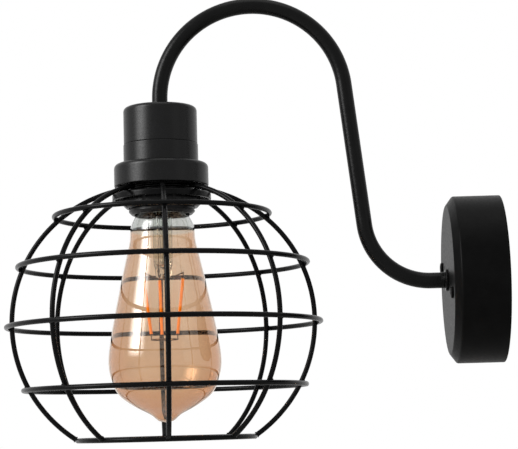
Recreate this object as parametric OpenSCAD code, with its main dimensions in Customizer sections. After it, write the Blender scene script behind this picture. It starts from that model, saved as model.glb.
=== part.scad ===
// Cage wall light. A round canopy sits on the wall, a swan-neck tube rises out of it and turns
// over, and a lamp holder hangs from the tube with a wire cage round a filament lamp.
// Millimetres. The origin is the centre of the canopy's back face, +Y runs into the wall,
// +Z is up, and the arm reaches towards -Y.

/* [Canopy] */
// Diameter of the canopy
canopy_d = 100; // [94:1:130]
// Depth of the canopy from the wall to its front face
canopy_depth = 32; // [29:1:45]
// Thickness of the canopy's sheet
canopy_wall = 1.2; // [0.8:0.1:2]
// Width of the bevel round the front face, across the radius
bevel_w = 5.4; // [2:0.1:9]
// Depth of that bevel along the axis
bevel_depth = 4; // [2:0.1:8]
// Distance between the two screws in the front face
face_screw_spacing = 66; // [58:1:76]
// Angle of the line through those screws above the horizontal
face_screw_tilt = 17; // [0:1:60]
// Diameter of the face screws' thread
face_screw_d = 4; // [3:0.5:5]
// Diameter of their heads
face_screw_head_d = 7; // [6:0.1:8]

/* [Wall bracket] */
// Length of the bracket bar
bracket_len = 84; // [80:1:90]
// Width of the bracket bar
bracket_w = 20; // [16:1:24]
// Thickness of the bracket bar
bracket_t = 2; // [1.5:0.1:3]
// Distance between the two wall screw holes
wall_hole_spacing = 50; // [46:1:52]
// Diameter of the wall screw holes
wall_hole_d = 5; // [4:0.1:5.5]
// Diameter of the hole for the supply cable
cable_hole_d = 12; // [8:0.5:14]

/* [Arm] */
// Distance from the wall to the lamp's axis
reach = 202.5; // [180:0.5:240]
// Outside diameter of the tube
tube_d = 9.5; // [9.2:0.1:9.8]
// Bore of the tube
tube_bore = 7.5; // [6.6:0.1:8]
// Height of the arch's centre above the canopy's axis
arch_height = 115; // [100:1:140]
// Bend radius of the tube where it rises from the canopy
foot_bend = 39; // [30:0.5:45]
// Lean of the straight rise from the vertical
rise_lean = 6.3; // [0:0.1:10]
// Length of tube and thread that shows between the canopy and the foot bend
neck_len = 10; // [8:0.5:20]
// Length of straight tube between the arch and the lamp holder
drop_len = 5; // [1:0.5:20]
// Diameter of the pipe thread at each end of the tube
thread_d = 10; // [10:0.1:12]

/* [Lamp holder] */
// Diameter of the holder's cap
cap_d = 44.6; // [42:0.1:46]
// Height of the cap, down to the seam
cap_h = 23; // [20:0.5:30]
// Edge radius of the cap's top
cap_edge = 2.2; // [0.5:0.1:3]
// Diameter of the holder's body under the seam
body_d = 45.2; // [43:0.1:47]
// Height of the body that shows above the shade rings
body_h = 11.7; // [8:0.1:16]
// Diameter of the thread that carries the shade rings
shade_thread_d = 39.8; // [39:0.1:41]
// Diameter of the holder's mouth
mouth_d = 33.6; // [33:0.1:34.5]
// Inside diameter of the screw shell
shell_bore = 27.2; // [27:0.1:27.6]

/* [Shade rings] */
// Diameter of the fixed ring above the cage
top_ring_d = 57; // [54:0.5:62]
// Height of the fixed ring
top_ring_h = 13.8; // [10:0.1:18]
// Skirt thickness of the fixed ring
top_ring_wall = 2.2; // [1.5:0.1:3]
// Diameter of the clamp ring under the cage
clamp_ring_d = 47; // [45:0.5:52]
// Height of the clamp ring
clamp_ring_h = 7; // [6:0.1:8.5]

/* [Cage] */
// Diameter of the cage's collar
collar_d = 59.6; // [56:0.1:64]
// Height of the collar's lip
collar_h = 4; // [3:0.1:5]
// Sheet thickness of the collar
collar_t = 1.5; // [1:0.1:2]
// Diameter of the cage's wire
wire_d = 3; // [2.5:0.1:4]
// Turn of the first rib from the +X side, towards the wall
rib_phase = 5.4; // [0:0.1:22]
// How far the two ribs beside the one on the -X side stand out of even spacing, away from it
far_rib_spread = 1.9; // [0:0.1:4]
// Radius of the ribs' centre line at the cage's widest place
belly_r = 90.7; // [84:0.5:98]
// Bend radius of the ribs above that place
upper_bend = 81; // [76:0.5:84]
// Depth of the top hoop under the collar's top
hoop_1_depth = 13.3; // [9:0.1:20]
// Depth of the second hoop
hoop_2_depth = 43.4; // [38:0.1:50]
// Depth of the third hoop, near the widest place
hoop_3_depth = 79.1; // [77.5:0.1:86]
// Depth of the fourth hoop
hoop_4_depth = 116.6; // [108:0.1:124]
// Depth of the bottom hoop, on the ribs' ends
hoop_5_depth = 146.8; // [140:0.1:160]
// Diameter of the bottom hoop's centre line, which the bulb passes
hoop_5_d = 105.2; // [96:0.1:120]

/* [Bulb] */
// Largest diameter of the glass
bulb_d = 67.6; // [60:0.1:76]
// Diameter of the glass neck where it leaves the holder
bulb_neck_d = 31.4; // [29:0.1:31.8]
// Length of glass below the holder's mouth
bulb_len = 124.5; // [110:0.5:130]
// Thickness of the glass
glass_t = 0.8; // [0.6:0.1:1.2]
// Diameter over the thread of the bulb's cap
bulb_cap_d = 26.4; // [26:0.1:26.6]
// Length of the bulb's cap, over its contact
bulb_cap_len = 26.5; // [25:0.1:27.5]
// Length of one glowing filament stick
filament_len = 34.5; // [28:0.5:38]
// Diameter of a filament stick
filament_d = 1.8; // [1.4:0.1:2.4]
// Radius of the ring on which the sticks' upper ends stand
filament_top_r = 12.1; // [8:0.1:13]
// Radius of the ring on which their lower ends stand
filament_foot_r = 8; // [5:0.1:10]

/* [Hidden] */
$fn = 96;

// Clearances: a thread or shaft in its hole, and a piece on its seat
run_gap = 0.08;
seat_gap = 0.1;
weld_gap = 0.05;
// A cut runs past the face it opens
cut = 1;

// The tube's centre line, as [Y, Z] points: an arch over the lamp, a leaning straight and a
// foot bend that ends level on the canopy's axis. The arch takes up what the reach leaves.
arch_bend = (reach - canopy_depth - neck_len - foot_bend / cos(rise_lean)
    - (arch_height - foot_bend) * tan(rise_lean)) / (1 + 1 / cos(rise_lean));
rise_len = (arch_height + (arch_bend + foot_bend) * sin(rise_lean) - foot_bend) / cos(rise_lean);
arch_centre = [-reach + arch_bend, arch_height];
rise_top = arch_centre + arch_bend * [cos(rise_lean), sin(rise_lean)];
rise_foot = rise_top + rise_len * [sin(rise_lean), -cos(rise_lean)];
foot_centre = rise_foot + foot_bend * [cos(rise_lean), sin(rise_lean)];

// The canopy's end of the arm
thread_show = 4;
collar_ring_d = thread_d + 2.8;
collar_ring_t = 1.5;
washer_d = 18;
washer_t = 0.8;
nut_across = 14;
nut_t = 4;
thread_past_nut = 1;
face_y = -canopy_depth;
face_back_y = face_y + canopy_wall;
arm_end_y = face_back_y + washer_t + nut_t + thread_past_nut + 2 * weld_gap;

// The earth screw lies on the bracket's line, midway between the cable hole and a wall screw hole
earth_screw_x = (wall_hole_spacing / 2 + cable_hole_d / 2) / 2;
earth_screw_d = 3.5;

// The two wires lie side by side in the tube and spread out to their terminals
wire_core_d = 2.4;
wire_offset = 1.5;
terminal_offset = 5;
spread_len = 6;
block_len = 11;
block_w = 18;
block_t = 11;
block_y = arm_end_y + spread_len;

// Heights on the lamp's axis, from the holder's top downwards
holder_z = arch_height - drop_len;
cap_wall = 2;
cap_neck_len = 6;
thread_foot_z = holder_z - cap_neck_len;
seam_z = holder_z - cap_h;
shoulder_z = seam_z - body_h;
top_ring_z = shoulder_z - top_ring_h;
upper_centre_r = belly_r - upper_bend;
rib_inner_r = 24;
belly_depth = sqrt(pow(upper_bend - wire_d / 2 - weld_gap, 2)
    - pow(collar_d / 2 - upper_centre_r, 2));
rib_top = sqrt(pow(upper_bend, 2) - pow(rib_inner_r - upper_centre_r, 2)) - belly_depth;

// Below the cage's widest place the ribs bend on the one arc that ends on the bottom hoop
lower_drop = hoop_5_depth - belly_depth;
lower_in = belly_r - hoop_5_d / 2;
lower_bend = (pow(lower_drop, 2) + pow(lower_in, 2)) / (2 * lower_in);
lower_centre_r = belly_r - lower_bend;
lower_turn = 2 * atan(lower_in / lower_drop);

collar_z = top_ring_z - seat_gap - wire_d / 2 - rib_top;
belly_z = collar_z - belly_depth;
collar_bore = shade_thread_d + 0.8;
clamp_top_z = collar_z - collar_t - seat_gap;
clamp_bevel = 2;
rim_edge = 1.8;
thread_past_clamp = 4.2;
mouth_z = clamp_top_z - clamp_ring_h - thread_past_clamp;
mouth_depth = 10;
socket_bore = shell_bore + 2.4;
shell_wall = 0.5;
shell_foot_z = mouth_z + mouth_depth - 1.5;
core_below = 9;
core_above = 6;
core_z = seam_z - core_below;
core_top_z = seam_z + core_above;
core_flange_t = 2.4;
contact_travel = 3;

// The bulb: its glass is a smooth curve through a few points, its cap ends at the contact
bulb_top_z = core_z - contact_travel;
bulb_skirt_z = bulb_top_z - bulb_cap_len;
bulb_tip_z = mouth_z - bulb_len;
neck_r = bulb_neck_d / 2;
belly_glass_r = bulb_d / 2;
glass_seat_r = bulb_cap_d / 2 - 1.6;
thread_pitch = 3.6;
thread_turns = 5;
stem_d = 12;
stem_reach = 38.5;
stem_press_len = 7;
stem_flare_len = 9;
stem_foot_z = mouth_z - stem_reach;
filament_top_z = stem_foot_z + 0.5;
filament_drop = sqrt(pow(filament_len, 2) - pow(filament_top_r - filament_foot_r, 2));
filament_foot_z = filament_top_z - filament_drop;
filament_turn = 15;
lead_d = 0.7;

RIB_COUNT = 8;
FILAMENT_COUNT = 4;

// ---------------------------------------------------------------- helpers

// Carries a drawing made in the XY plane into the arm's plane: X becomes Y, and Y becomes Z
module arm_plane() {
    rotate([90, 0, 90]) children();
}

// One bend of a round tube in the XY plane. It starts at the origin along +X and turns left by
// turn degrees, or right if turn is negative, on a centre line of radius bend. Both ends are cut
// square by the half planes that bound the turn, so the next length meets the cut exactly.
module tube_bend(bend, turn, d, bore) {
    side = 2 * (bend + d);
    mirror([0, turn < 0 ? 1 : 0, 0]) translate([0, bend, 0]) intersection() {
        rotate_extrude() translate([bend, 0]) difference() {
            circle(d = d);
            if (bore > 0) circle(d = bore);
        }
        translate([0, -side / 2, -d]) cube([side, side, 2 * d]);
        rotate([0, 0, abs(turn)]) translate([-side, -side / 2, -d]) cube([side, side, 2 * d]);
    }
}

// Carries a piece from the start of such a bend to its end
module past_bend(bend, turn) {
    side = turn < 0 ? -1 : 1;
    translate([0, side * bend, 0]) rotate([0, 0, turn]) translate([0, -side * bend, 0]) children();
}

module straight_tube(length, d, bore) {
    rotate([0, 90, 0]) difference() {
        cylinder(h = length, d = d);
        if (bore > 0) translate([0, 0, -cut]) cylinder(h = length + 2 * cut, d = bore);
    }
}

// A tube that runs through steps of [straight length, bend radius, turn], each from where the
// last one ended. A bore of 0 makes a solid rod.
module tube_along(steps, d, bore = 0, i = 0) {
    length = steps[i][0];
    bend = steps[i][1];
    turn = steps[i][2];
    if (length > 0) straight_tube(length, d, bore);
    if (turn != 0) translate([length, 0, 0]) {
        tube_bend(bend, turn, d, bore);
        if (i + 1 < len(steps)) past_bend(bend, turn) tube_along(steps, d, bore, i + 1);
    }
}

// A straight round rod between any two points
module rod_between(start, end, d) {
    run = end - start;
    translate(start) rotate([0, acos(run.z / norm(run)), atan2(run.y, run.x)])
        cylinder(h = norm(run), d = d, $fn = 24);
}

// Moves to the lamp's axis, at the wall's height zero
module at_lamp() {
    translate([0, -reach, 0]) children();
}

// A solid of revolution about the lamp's axis, from [radius, height] points
module turned(points) {
    at_lamp() rotate_extrude() polygon(points);
}

// Lays a piece that is drawn upright along the canopy's axis, pointing into the room
module on_canopy_axis(y) {
    translate([0, y, 0]) rotate([90, 0, 0]) children();
}

// Puts a piece at each face screw, in the canopy's own turned line
module at_face_screws(y) {
    for (side = [-1, 1])
        on_canopy_axis(y) rotate([0, 0, -face_screw_tilt])
            translate([side * face_screw_spacing / 2, 0, 0]) children();
}

// Starts a drawing on the lamp's axis, heading up, with its left side away from the wall
module from_holder(z, away = 0) {
    arm_plane() translate([-reach - away, z, 0]) rotate([0, 0, 90]) children();
}

// A smooth curve through points: between each pair it takes steps of a Catmull-Rom spline
function spline_point(p, i, t) =
    let (n = len(p) - 1, a = p[max(i - 1, 0)], b = p[i], c = p[i + 1], d = p[min(i + 2, n)])
    0.5 * (2 * b + (c - a) * t + (2 * a - 5 * b + 4 * c - d) * pow(t, 2)
        + (3 * b - a - 3 * c + d) * pow(t, 3));
function spline(p, steps) = [
    for (i = [0 : len(p) - 2], s = [0 : steps - 1]) spline_point(p, i, s / steps),
    p[len(p) - 1]
];

// The same curve moved inwards by a wall's thickness, never past the axis
function inset(p, wall) = [
    for (i = [0 : len(p) - 1])
        let (run = p[min(i + 1, len(p) - 1)] - p[max(i - 1, 0)], across = [run.y, -run.x] / norm(run))
        [max(p[i].x + wall * across.x, 0), p[i].y + wall * across.y]
];
function reversed(p) = [for (i = [len(p) - 1 : -1 : 0]) p[i]];

// Radius of the glass part of the way from the neck to the belly, and height below the mouth
function glass_side(widen, depth) = [
    neck_r + (belly_glass_r - neck_r) * widen, mouth_z - bulb_len * depth
];
function glass_end(narrow, depth) = [belly_glass_r * narrow, mouth_z - bulb_len * depth];
glass_points = [
    [glass_seat_r, bulb_skirt_z + 3], [glass_seat_r + 0.1, bulb_skirt_z + 0.6],
    [neck_r, mouth_z],
    glass_side(0.18, 0.055), glass_side(0.23, 0.13), glass_side(0.34, 0.2),
    glass_side(0.56, 0.34), glass_side(0.88, 0.57), glass_end(1, 0.71),
    glass_end(0.93, 0.81), glass_end(0.8, 0.872), glass_end(0.53, 0.925),
    glass_end(0.27, 0.962), glass_end(0.13, 0.992), [0, bulb_tip_z]
];
glass_outline = spline(glass_points, 5);

// ---------------------------------------------------------------- canopy

module canopy_shell() {
    shell_r = canopy_d / 2;
    in_r = shell_r - canopy_wall;
    slant = atan2(bevel_w, bevel_depth);
    side_mitre = canopy_wall * tan(slant / 2);
    face_mitre = canopy_wall * tan(45 - slant / 2);
    color("dimgray") difference() {
        on_canopy_axis(0) rotate_extrude($fn = 180) polygon([
            [shell_r, 0], [shell_r, canopy_depth - bevel_depth],
            [shell_r - bevel_w, canopy_depth], [0, canopy_depth],
            [0, canopy_depth - canopy_wall],
            [shell_r - bevel_w - face_mitre, canopy_depth - canopy_wall],
            [in_r, canopy_depth - bevel_depth - side_mitre], [in_r, 0]
        ]);
        on_canopy_axis(face_back_y + cut) cylinder(h = canopy_wall + 2 * cut, d = thread_d + 2 * run_gap);
        at_face_screws(face_back_y + cut)
            cylinder(h = canopy_wall + 2 * cut, d = face_screw_d + 2 * run_gap);
    }
}

module wall_bracket() {
    color("silver") difference() {
        on_canopy_axis(0) rotate([0, 0, -face_screw_tilt]) intersection() {
            translate([-bracket_len / 2, -bracket_w / 2, 0]) cube([bracket_len, bracket_w, bracket_t]);
            cylinder(h = bracket_t, d = bracket_len);
        }
        on_canopy_axis(cut) cylinder(h = bracket_t + 2 * cut, d = cable_hole_d);
        on_canopy_axis(cut) rotate([0, 0, -face_screw_tilt]) {
            for (side = [-1, 1]) translate([side * wall_hole_spacing / 2, 0, 0])
                cylinder(h = bracket_t + 2 * cut, d = wall_hole_d);
            translate([earth_screw_x, 0, 0]) cylinder(h = bracket_t + 2 * cut, d = earth_screw_d);
        }
        at_face_screws(cut) cylinder(h = bracket_t + 2 * cut, d = face_screw_d + 2 * run_gap);
    }
}

module face_screws() {
    head_h = 1.6;
    slot_w = 1;
    color("gray") at_face_screws(-bracket_t / 2) difference() {
        union() {
            cylinder(h = canopy_depth - bracket_t / 2, d = face_screw_d);
            translate([0, 0, canopy_depth - bracket_t / 2]) cylinder(h = head_h, d = face_screw_head_d);
        }
        translate([-face_screw_head_d, -slot_w / 2, canopy_depth - bracket_t / 2 + head_h / 2])
            cube([2 * face_screw_head_d, slot_w, head_h]);
    }
}

module earth_screw() {
    head_d = 6;
    head_h = 2.2;
    slot_w = 0.9;
    color("gold") on_canopy_axis(0) rotate([0, 0, -face_screw_tilt]) translate([earth_screw_x, 0, 0])
        difference() {
            union() {
                cylinder(h = bracket_t + cut, d = earth_screw_d - 2 * run_gap);
                translate([0, 0, bracket_t + seat_gap / 2]) cylinder(h = head_h, d = head_d);
            }
            translate([-head_d, -slot_w / 2, bracket_t + head_h / 2]) cube([2 * head_d, slot_w, head_h]);
        }
}

// ---------------------------------------------------------------- arm

// The tube has a short thicker thread at each end: one goes through the canopy's face, the
// other screws into the holder's cap.
module arm_tube() {
    thread_len = arm_end_y - face_y + thread_show;
    level_len = arm_end_y - foot_centre.x;
    color("black") union() {
        from_holder(thread_foot_z) tube_along([
            [arch_height - thread_foot_z, arch_bend, rise_lean - 180],
            [rise_len, foot_bend, 90 - rise_lean],
            [level_len - thread_len / 2, 0, 0]
        ], tube_d, tube_bore);
        on_canopy_axis(arm_end_y) threaded_end(thread_len);
        at_lamp() translate([0, 0, thread_foot_z]) threaded_end(cap_neck_len);
    }
}

module threaded_end(length) {
    difference() {
        cylinder(h = length, d = thread_d);
        translate([0, 0, -cut]) cylinder(h = length + 2 * cut, d = (tube_d + tube_bore) / 2);
    }
}

module threaded_ring(d, t) {
    difference() {
        cylinder(h = t, d = d);
        translate([0, 0, -cut]) cylinder(h = t + 2 * cut, d = thread_d + 2 * weld_gap);
    }
}

module arm_collar() {
    color("black") on_canopy_axis(face_y - weld_gap) threaded_ring(collar_ring_d, collar_ring_t);
}

// A toothed washer inside the canopy: notches round its edge bite into the sheet
module lock_washer() {
    teeth = 12;
    color("silver") on_canopy_axis(face_back_y + weld_gap + washer_t) difference() {
        threaded_ring(washer_d, washer_t);
        for (k = [0 : teeth - 1]) rotate([0, 0, k * 360 / teeth])
            translate([washer_d / 2, 0, -cut]) cylinder(h = washer_t + 2 * cut, d = 1.6);
    }
}

module lock_nut() {
    nut_back_y = face_back_y + 2 * weld_gap + washer_t + nut_t;
    color("gold") on_canopy_axis(nut_back_y) difference() {
        cylinder(h = nut_t, d = nut_across / cos(30), $fn = 6);
        translate([0, 0, -cut]) cylinder(h = nut_t + 2 * cut, d = thread_d + 2 * weld_gap);
    }
}

// The end of a wire past the tube: it kinks aside by rise to its terminal and straightens
module wire_spread(rise) {
    kink_d = wire_core_d + 0.3;
    tail = 1.6;
    run = spread_len - tail;
    rotate([0, 90, 0]) sphere(d = kink_d);
    rotate([0, 0, atan2(rise, run)]) straight_tube(norm([run, rise]), wire_core_d, 0);
    translate([run, rise, 0]) {
        rotate([0, 90, 0]) sphere(d = kink_d);
        straight_tube(tail, wire_core_d, 0);
    }
}

// One insulated wire from the holder's terminal, up and over inside the tube, to the terminal
// block. side is +1 for the outer wire of the arch and -1 for the inner one.
module tube_wire(side) {
    shift = side * wire_offset;
    rise = side * (terminal_offset - wire_offset);
    from_holder(thread_foot_z, shift) {
        rotate([0, 0, 180]) wire_spread(-rise);
        tube_along([
            [arch_height - thread_foot_z, arch_bend + shift, rise_lean - 180],
            [rise_len, foot_bend - shift, 90 - rise_lean],
            [arm_end_y - foot_centre.x, 0, 0]
        ], wire_core_d);
    }
    arm_plane() translate([arm_end_y, shift, 0]) wire_spread(rise);
}

module live_wire() {
    color("saddlebrown") tube_wire(1);
}

module neutral_wire() {
    color("royalblue") tube_wire(-1);
}

module terminal_block() {
    pole_d = 3.2;
    waist = 1.5;
    color("white") difference() {
        translate([-block_t / 2, block_y + seat_gap, -block_w / 2]) cube([block_t, block_len, block_w]);
        for (side = [-1, 1]) translate([0, block_y, side * terminal_offset]) {
            rotate([-90, 0, 0]) translate([0, 0, -cut]) cylinder(h = block_len + 2 * cut, d = pole_d);
            translate([0, block_len / 2 + seat_gap, 0]) rotate([0, 90, 0])
                cylinder(h = block_t, d = pole_d);
        }
        for (side = [-1, 1]) translate([side * block_t / 2, block_y + block_len / 2, 0])
            cube([2 * waist, block_len + 2 * cut, 2 * waist], center = true);
    }
}

module terminal_screws() {
    color("silver") for (side = [-1, 1])
        translate([1, block_y + block_len / 2 + seat_gap, side * terminal_offset]) rotate([0, 90, 0])
            difference() {
                cylinder(h = 3.6, d = 3);
                translate([-2, -0.3, 3]) cube([4, 0.6, 1]);
            }
}

// ---------------------------------------------------------------- lamp holder

// The cap is a cup with a rounded top edge and a threaded neck inside for the tube
module holder_cap() {
    r = cap_d / 2;
    in_r = r - cap_wall;
    neck_r_out = thread_d / 2 + 2.5;
    edge = [for (a = [0 : 15 : 90]) [r - cap_edge + cap_edge * cos(a), holder_z - cap_edge + cap_edge * sin(a)]];
    color("dimgray") turned(concat(
        [[in_r, seam_z + seat_gap], [r, seam_z + seat_gap]], edge,
        [[thread_d / 2 + weld_gap, holder_z], [thread_d / 2 + weld_gap, holder_z - cap_neck_len],
         [neck_r_out, holder_z - cap_neck_len], [neck_r_out, holder_z - cap_wall],
         [in_r, holder_z - cap_wall]]
    ));
}

// The body shows as a plain band under the seam, then steps in to the thread that carries the
// shade rings and ends in a rounded rim round the mouth
module holder_body() {
    color("dimgray") turned([
        [socket_bore / 2, seam_z], [body_d / 2, seam_z], [body_d / 2, shoulder_z + seat_gap],
        [shade_thread_d / 2, shoulder_z + seat_gap], [shade_thread_d / 2, mouth_z + rim_edge],
        [shade_thread_d / 2 - rim_edge, mouth_z], [mouth_d / 2, mouth_z],
        [mouth_d / 2, mouth_z + mouth_depth], [socket_bore / 2, mouth_z + mouth_depth]
    ]);
}

module holder_core() {
    plug_r = socket_bore / 2 - run_gap;
    flange_r = cap_d / 2 - cap_wall - run_gap;
    screw_d = 3;
    color("white") difference() {
        turned([
            [0, core_z], [plug_r, core_z], [plug_r, seam_z + seat_gap], [flange_r, seam_z + seat_gap],
            [flange_r, seam_z + core_flange_t], [plug_r, seam_z + core_flange_t],
            [plug_r, core_top_z], [0, core_top_z]
        ]);
        for (side = [-1, 1]) at_lamp() translate([side * 9, 0, core_z - cut])
            cylinder(h = core_top_z - core_z + 2 * cut, d = screw_d);
    }
}

// The shell's plain bore takes the bulb's cap, and a ring at its top fixes it to the core
module screw_shell() {
    in_r = shell_bore / 2;
    color("gold") turned([
        [in_r, shell_foot_z], [in_r + shell_wall, shell_foot_z],
        [in_r + shell_wall, core_z - seat_gap], [in_r - 2.5, core_z - seat_gap],
        [in_r - 2.5, core_z - seat_gap - shell_wall], [in_r, core_z - seat_gap - shell_wall]
    ]);
}

// A sprung tongue under the core, with a round pad that meets the bulb's contact
module centre_contact() {
    strip_w = 5;
    strip_len = 16;
    strip_t = 0.5;
    pad_h = core_z - bulb_top_z - strip_t - seat_gap * 4;
    color("goldenrod") at_lamp() translate([0, 0, core_z - seat_gap / 2 - strip_t]) {
        translate([-strip_w / 2, -strip_len / 2, 0]) cube([strip_w, strip_len, strip_t]);
        translate([0, 0, -pad_h]) cylinder(h = pad_h, d1 = 3, d2 = strip_w);
    }
}

// Two brass blocks on the core with a clamping screw each
module holder_terminals() {
    block = [8, 5];
    wire_foot_z = thread_foot_z - spread_len;
    color("gold") at_lamp() for (side = [-1, 1])
        translate([0, side * terminal_offset, 0]) {
            translate([-block.x / 2, -block.y / 2, core_top_z + weld_gap])
                cube([block.x, block.y, wire_foot_z - core_top_z - seat_gap]);
            translate([block.x / 2, 0, (core_top_z + wire_foot_z) / 2]) rotate([0, 90, 0])
                cylinder(h = 2.2, d = 3.6);
        }
}

// A cup-shaped ring that bears on the ribs' ends: a skirt, a web and a threaded boss
module top_ring() {
    r = top_ring_d / 2;
    bore_r = shade_thread_d / 2 + run_gap;
    boss_r = bore_r + 2.4;
    web_z = shoulder_z - 3;
    edge_r = 2.4;
    edge = [for (a = [0 : 15 : 90]) [r - edge_r + edge_r * cos(a), shoulder_z - edge_r + edge_r * sin(a)]];
    color("dimgray") turned(concat(
        [[bore_r, top_ring_z], [boss_r, top_ring_z], [boss_r, web_z], [r - top_ring_wall, web_z],
         [r - top_ring_wall, top_ring_z], [r, top_ring_z]],
        edge, [[bore_r, shoulder_z]]
    ));
}

// A nut-like ring under the cage's collar, bevelled at its foot, with finger notches
module clamp_ring() {
    r = clamp_ring_d / 2;
    bore_r = shade_thread_d / 2 + run_gap;
    foot_z = clamp_top_z - clamp_ring_h;
    notches = 8;
    color("dimgray") difference() {
        turned([
            [bore_r, clamp_top_z], [r, clamp_top_z], [r, foot_z + clamp_bevel],
            [r - clamp_bevel, foot_z], [bore_r, foot_z]
        ]);
        at_lamp() for (k = [0 : notches - 1]) rotate([0, 0, (k + 0.5) * 360 / notches])
            translate([r + 0.4, 0, foot_z - cut]) cylinder(h = clamp_ring_h - 1.5 + cut, d = 2.4);
    }
}

// ---------------------------------------------------------------- cage

// A hoop rests on the outside of the ribs, so its centre lies one wire out along their bend
function outer_hoop_r(depth) = let (
    below = collar_z - depth < belly_z,
    bend = (below ? lower_bend : upper_bend) + wire_d + weld_gap,
    centre_r = below ? lower_centre_r : upper_centre_r
) centre_r + sqrt(pow(bend, 2) - pow(collar_z - depth - belly_z, 2));

// A rib ends short of the bottom hoop by half its wire, so the two meet without overlap
rib_end_angle = lower_turn - asin((wire_d / 2 + weld_gap) / lower_bend);
rib_start_angle = acos((rib_inner_r - upper_centre_r) / upper_bend);

module hoop(r, depth) {
    color("black") at_lamp() translate([0, 0, collar_z - depth])
        rotate_extrude($fn = 180) translate([r, 0]) circle(d = wire_d);
}

module hoop_1() {
    hoop(outer_hoop_r(hoop_1_depth), hoop_1_depth);
}

module hoop_2() {
    hoop(outer_hoop_r(hoop_2_depth), hoop_2_depth);
}

module hoop_3() {
    hoop(outer_hoop_r(hoop_3_depth), hoop_3_depth);
}

module hoop_4() {
    hoop(outer_hoop_r(hoop_4_depth), hoop_4_depth);
}

module hoop_5() {
    hoop(hoop_5_d / 2, hoop_5_depth);
}

// Direction of a rib round the lamp's axis
function rib_angle(number) = rib_phase + (number - 1) * 360 / RIB_COUNT
    + (number == 4 ? -far_rib_spread : number == 6 ? far_rib_spread : 0);

// A rib is two tangent arcs of wire in a plane through the lamp's axis, which meet where the
// cage is widest
module rib(number) {
    color("black") at_lamp() translate([0, 0, belly_z])
        rotate([0, 0, rib_angle(number)]) rotate([90, 0, 0])
            translate([belly_r, 0, 0]) {
                mirror([0, 1, 0]) rotate([0, 0, -90]) tube_bend(upper_bend, -rib_start_angle, wire_d, 0);
                rotate([0, 0, -90]) tube_bend(lower_bend, -rib_end_angle, wire_d, 0);
            }
}

// A pressed collar: a flat web round the holder's thread, turned down in a lip at its edge
module cage_collar() {
    r = collar_d / 2;
    color("black") turned([
        [collar_bore / 2, collar_z], [r, collar_z], [r, collar_z - collar_h],
        [r - collar_t, collar_z - collar_h], [r - collar_t, collar_z - collar_t],
        [collar_bore / 2, collar_z - collar_t]
    ]);
}

// ---------------------------------------------------------------- bulb

module bulb_glass() {
    color("peru", 0.4) turned(concat(glass_outline, reversed(inset(glass_outline, glass_t))));
}

// The bulb's cap: a thin threaded can with round ridges and a plain skirt over the glass
module bulb_cap() {
    r = bulb_cap_d / 2;
    depth = 0.9;
    sheet = 0.4;
    insulator_z = bulb_top_z - 5;
    thread_z = insulator_z - 1.5;
    ridge = [
        for (k = [0 : thread_turns * 8]) let (a = k * 45)
        [r - depth / 2 - depth / 2 * cos(a), thread_z - thread_pitch * k / 8]
    ];
    color("lightgray") turned(concat(
        [[r - 4, insulator_z], [r - depth - 0.5, thread_z + 0.6]], ridge, [[r - 0.3, bulb_skirt_z],
         [r - 0.3 - sheet, bulb_skirt_z]],
        [[r - depth - sheet, thread_z - thread_pitch * thread_turns],
         [r - depth - sheet, thread_z], [r - 4, insulator_z - sheet]]
    ));
}

module bulb_insulator() {
    top_z = bulb_top_z - 1;
    foot_z = bulb_top_z - 5;
    color("black") turned([
        [0, top_z], [4.5, top_z], [bulb_cap_d / 2 - 4 + 0.5, foot_z + weld_gap], [0, foot_z + weld_gap]
    ]);
}

module bulb_contact() {
    color("silver") at_lamp() translate([0, 0, bulb_top_z - 1 + weld_gap])
        cylinder(h = 1 - weld_gap, d1 = 8, d2 = 6);
}

// The small circuit in the cap that feeds the filaments: a board with its smoothing capacitor
module bulb_driver() {
    board = [1, 14, 15];
    board_z = bulb_top_z - 5.5 - board.z;
    color("darkgreen") at_lamp() translate([-board.x / 2, -board.y / 2, board_z]) cube(board);
    color("darkslategray") at_lamp() translate([board.x / 2, 0, board_z + 3]) rotate([0, 90, 0])
        cylinder(h = 5, d = 5.5);
}

// The glass stem: a hollow tube that flares to the neck's seal and is pinched shut at its foot
module bulb_stem() {
    r = stem_d / 2;
    wall = 0.8;
    flare_r = glass_seat_r - glass_t - 0.3;
    flare_z = bulb_skirt_z + 2;
    press_z = stem_foot_z + stem_press_len;
    color("lightblue", 0.4) turned([
        [flare_r, flare_z], [flare_r - 1, flare_z - 2.5], [r, flare_z - stem_flare_len], [r, press_z],
        [r - 2, stem_foot_z + 2], [r - 3.5, stem_foot_z], [0, stem_foot_z],
        [0, press_z], [r - wall, press_z + 1], [r - wall, flare_z - stem_flare_len + wall / 2], [flare_r - 1.8, flare_z - 2.3],
        [flare_r - 1, flare_z]
    ]);
}

// Direction of a filament round the lamp's axis
function filament_dir(number) = let (a = filament_turn + (number - 1) * 360 / FILAMENT_COUNT)
    [cos(a), sin(a)];
function filament_at(number, r, z) = [r * filament_dir(number).x, r * filament_dir(number).y, z];

module filament(number) {
    color("orange") at_lamp() rod_between(
        filament_at(number, filament_top_r, filament_top_z),
        filament_at(number, filament_foot_r, filament_foot_z), filament_d);
}

// Wires from the pinched stem out and down to the upper end of each stick
module filament_leads() {
    root_z = stem_foot_z - lead_d / 2 - seat_gap;
    root_r = stem_d / 2 - 3.3;
    color("silver") at_lamp() for (k = [1 : FILAMENT_COUNT]) {
        rod_between(filament_at(k, root_r, root_z),
            filament_at(k, filament_top_r, filament_top_z + 3), lead_d);
        rod_between(filament_at(k, filament_top_r, filament_top_z + 3.5),
            filament_at(k, filament_top_r, filament_top_z + seat_gap), lead_d + 0.2);
    }
}

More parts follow.
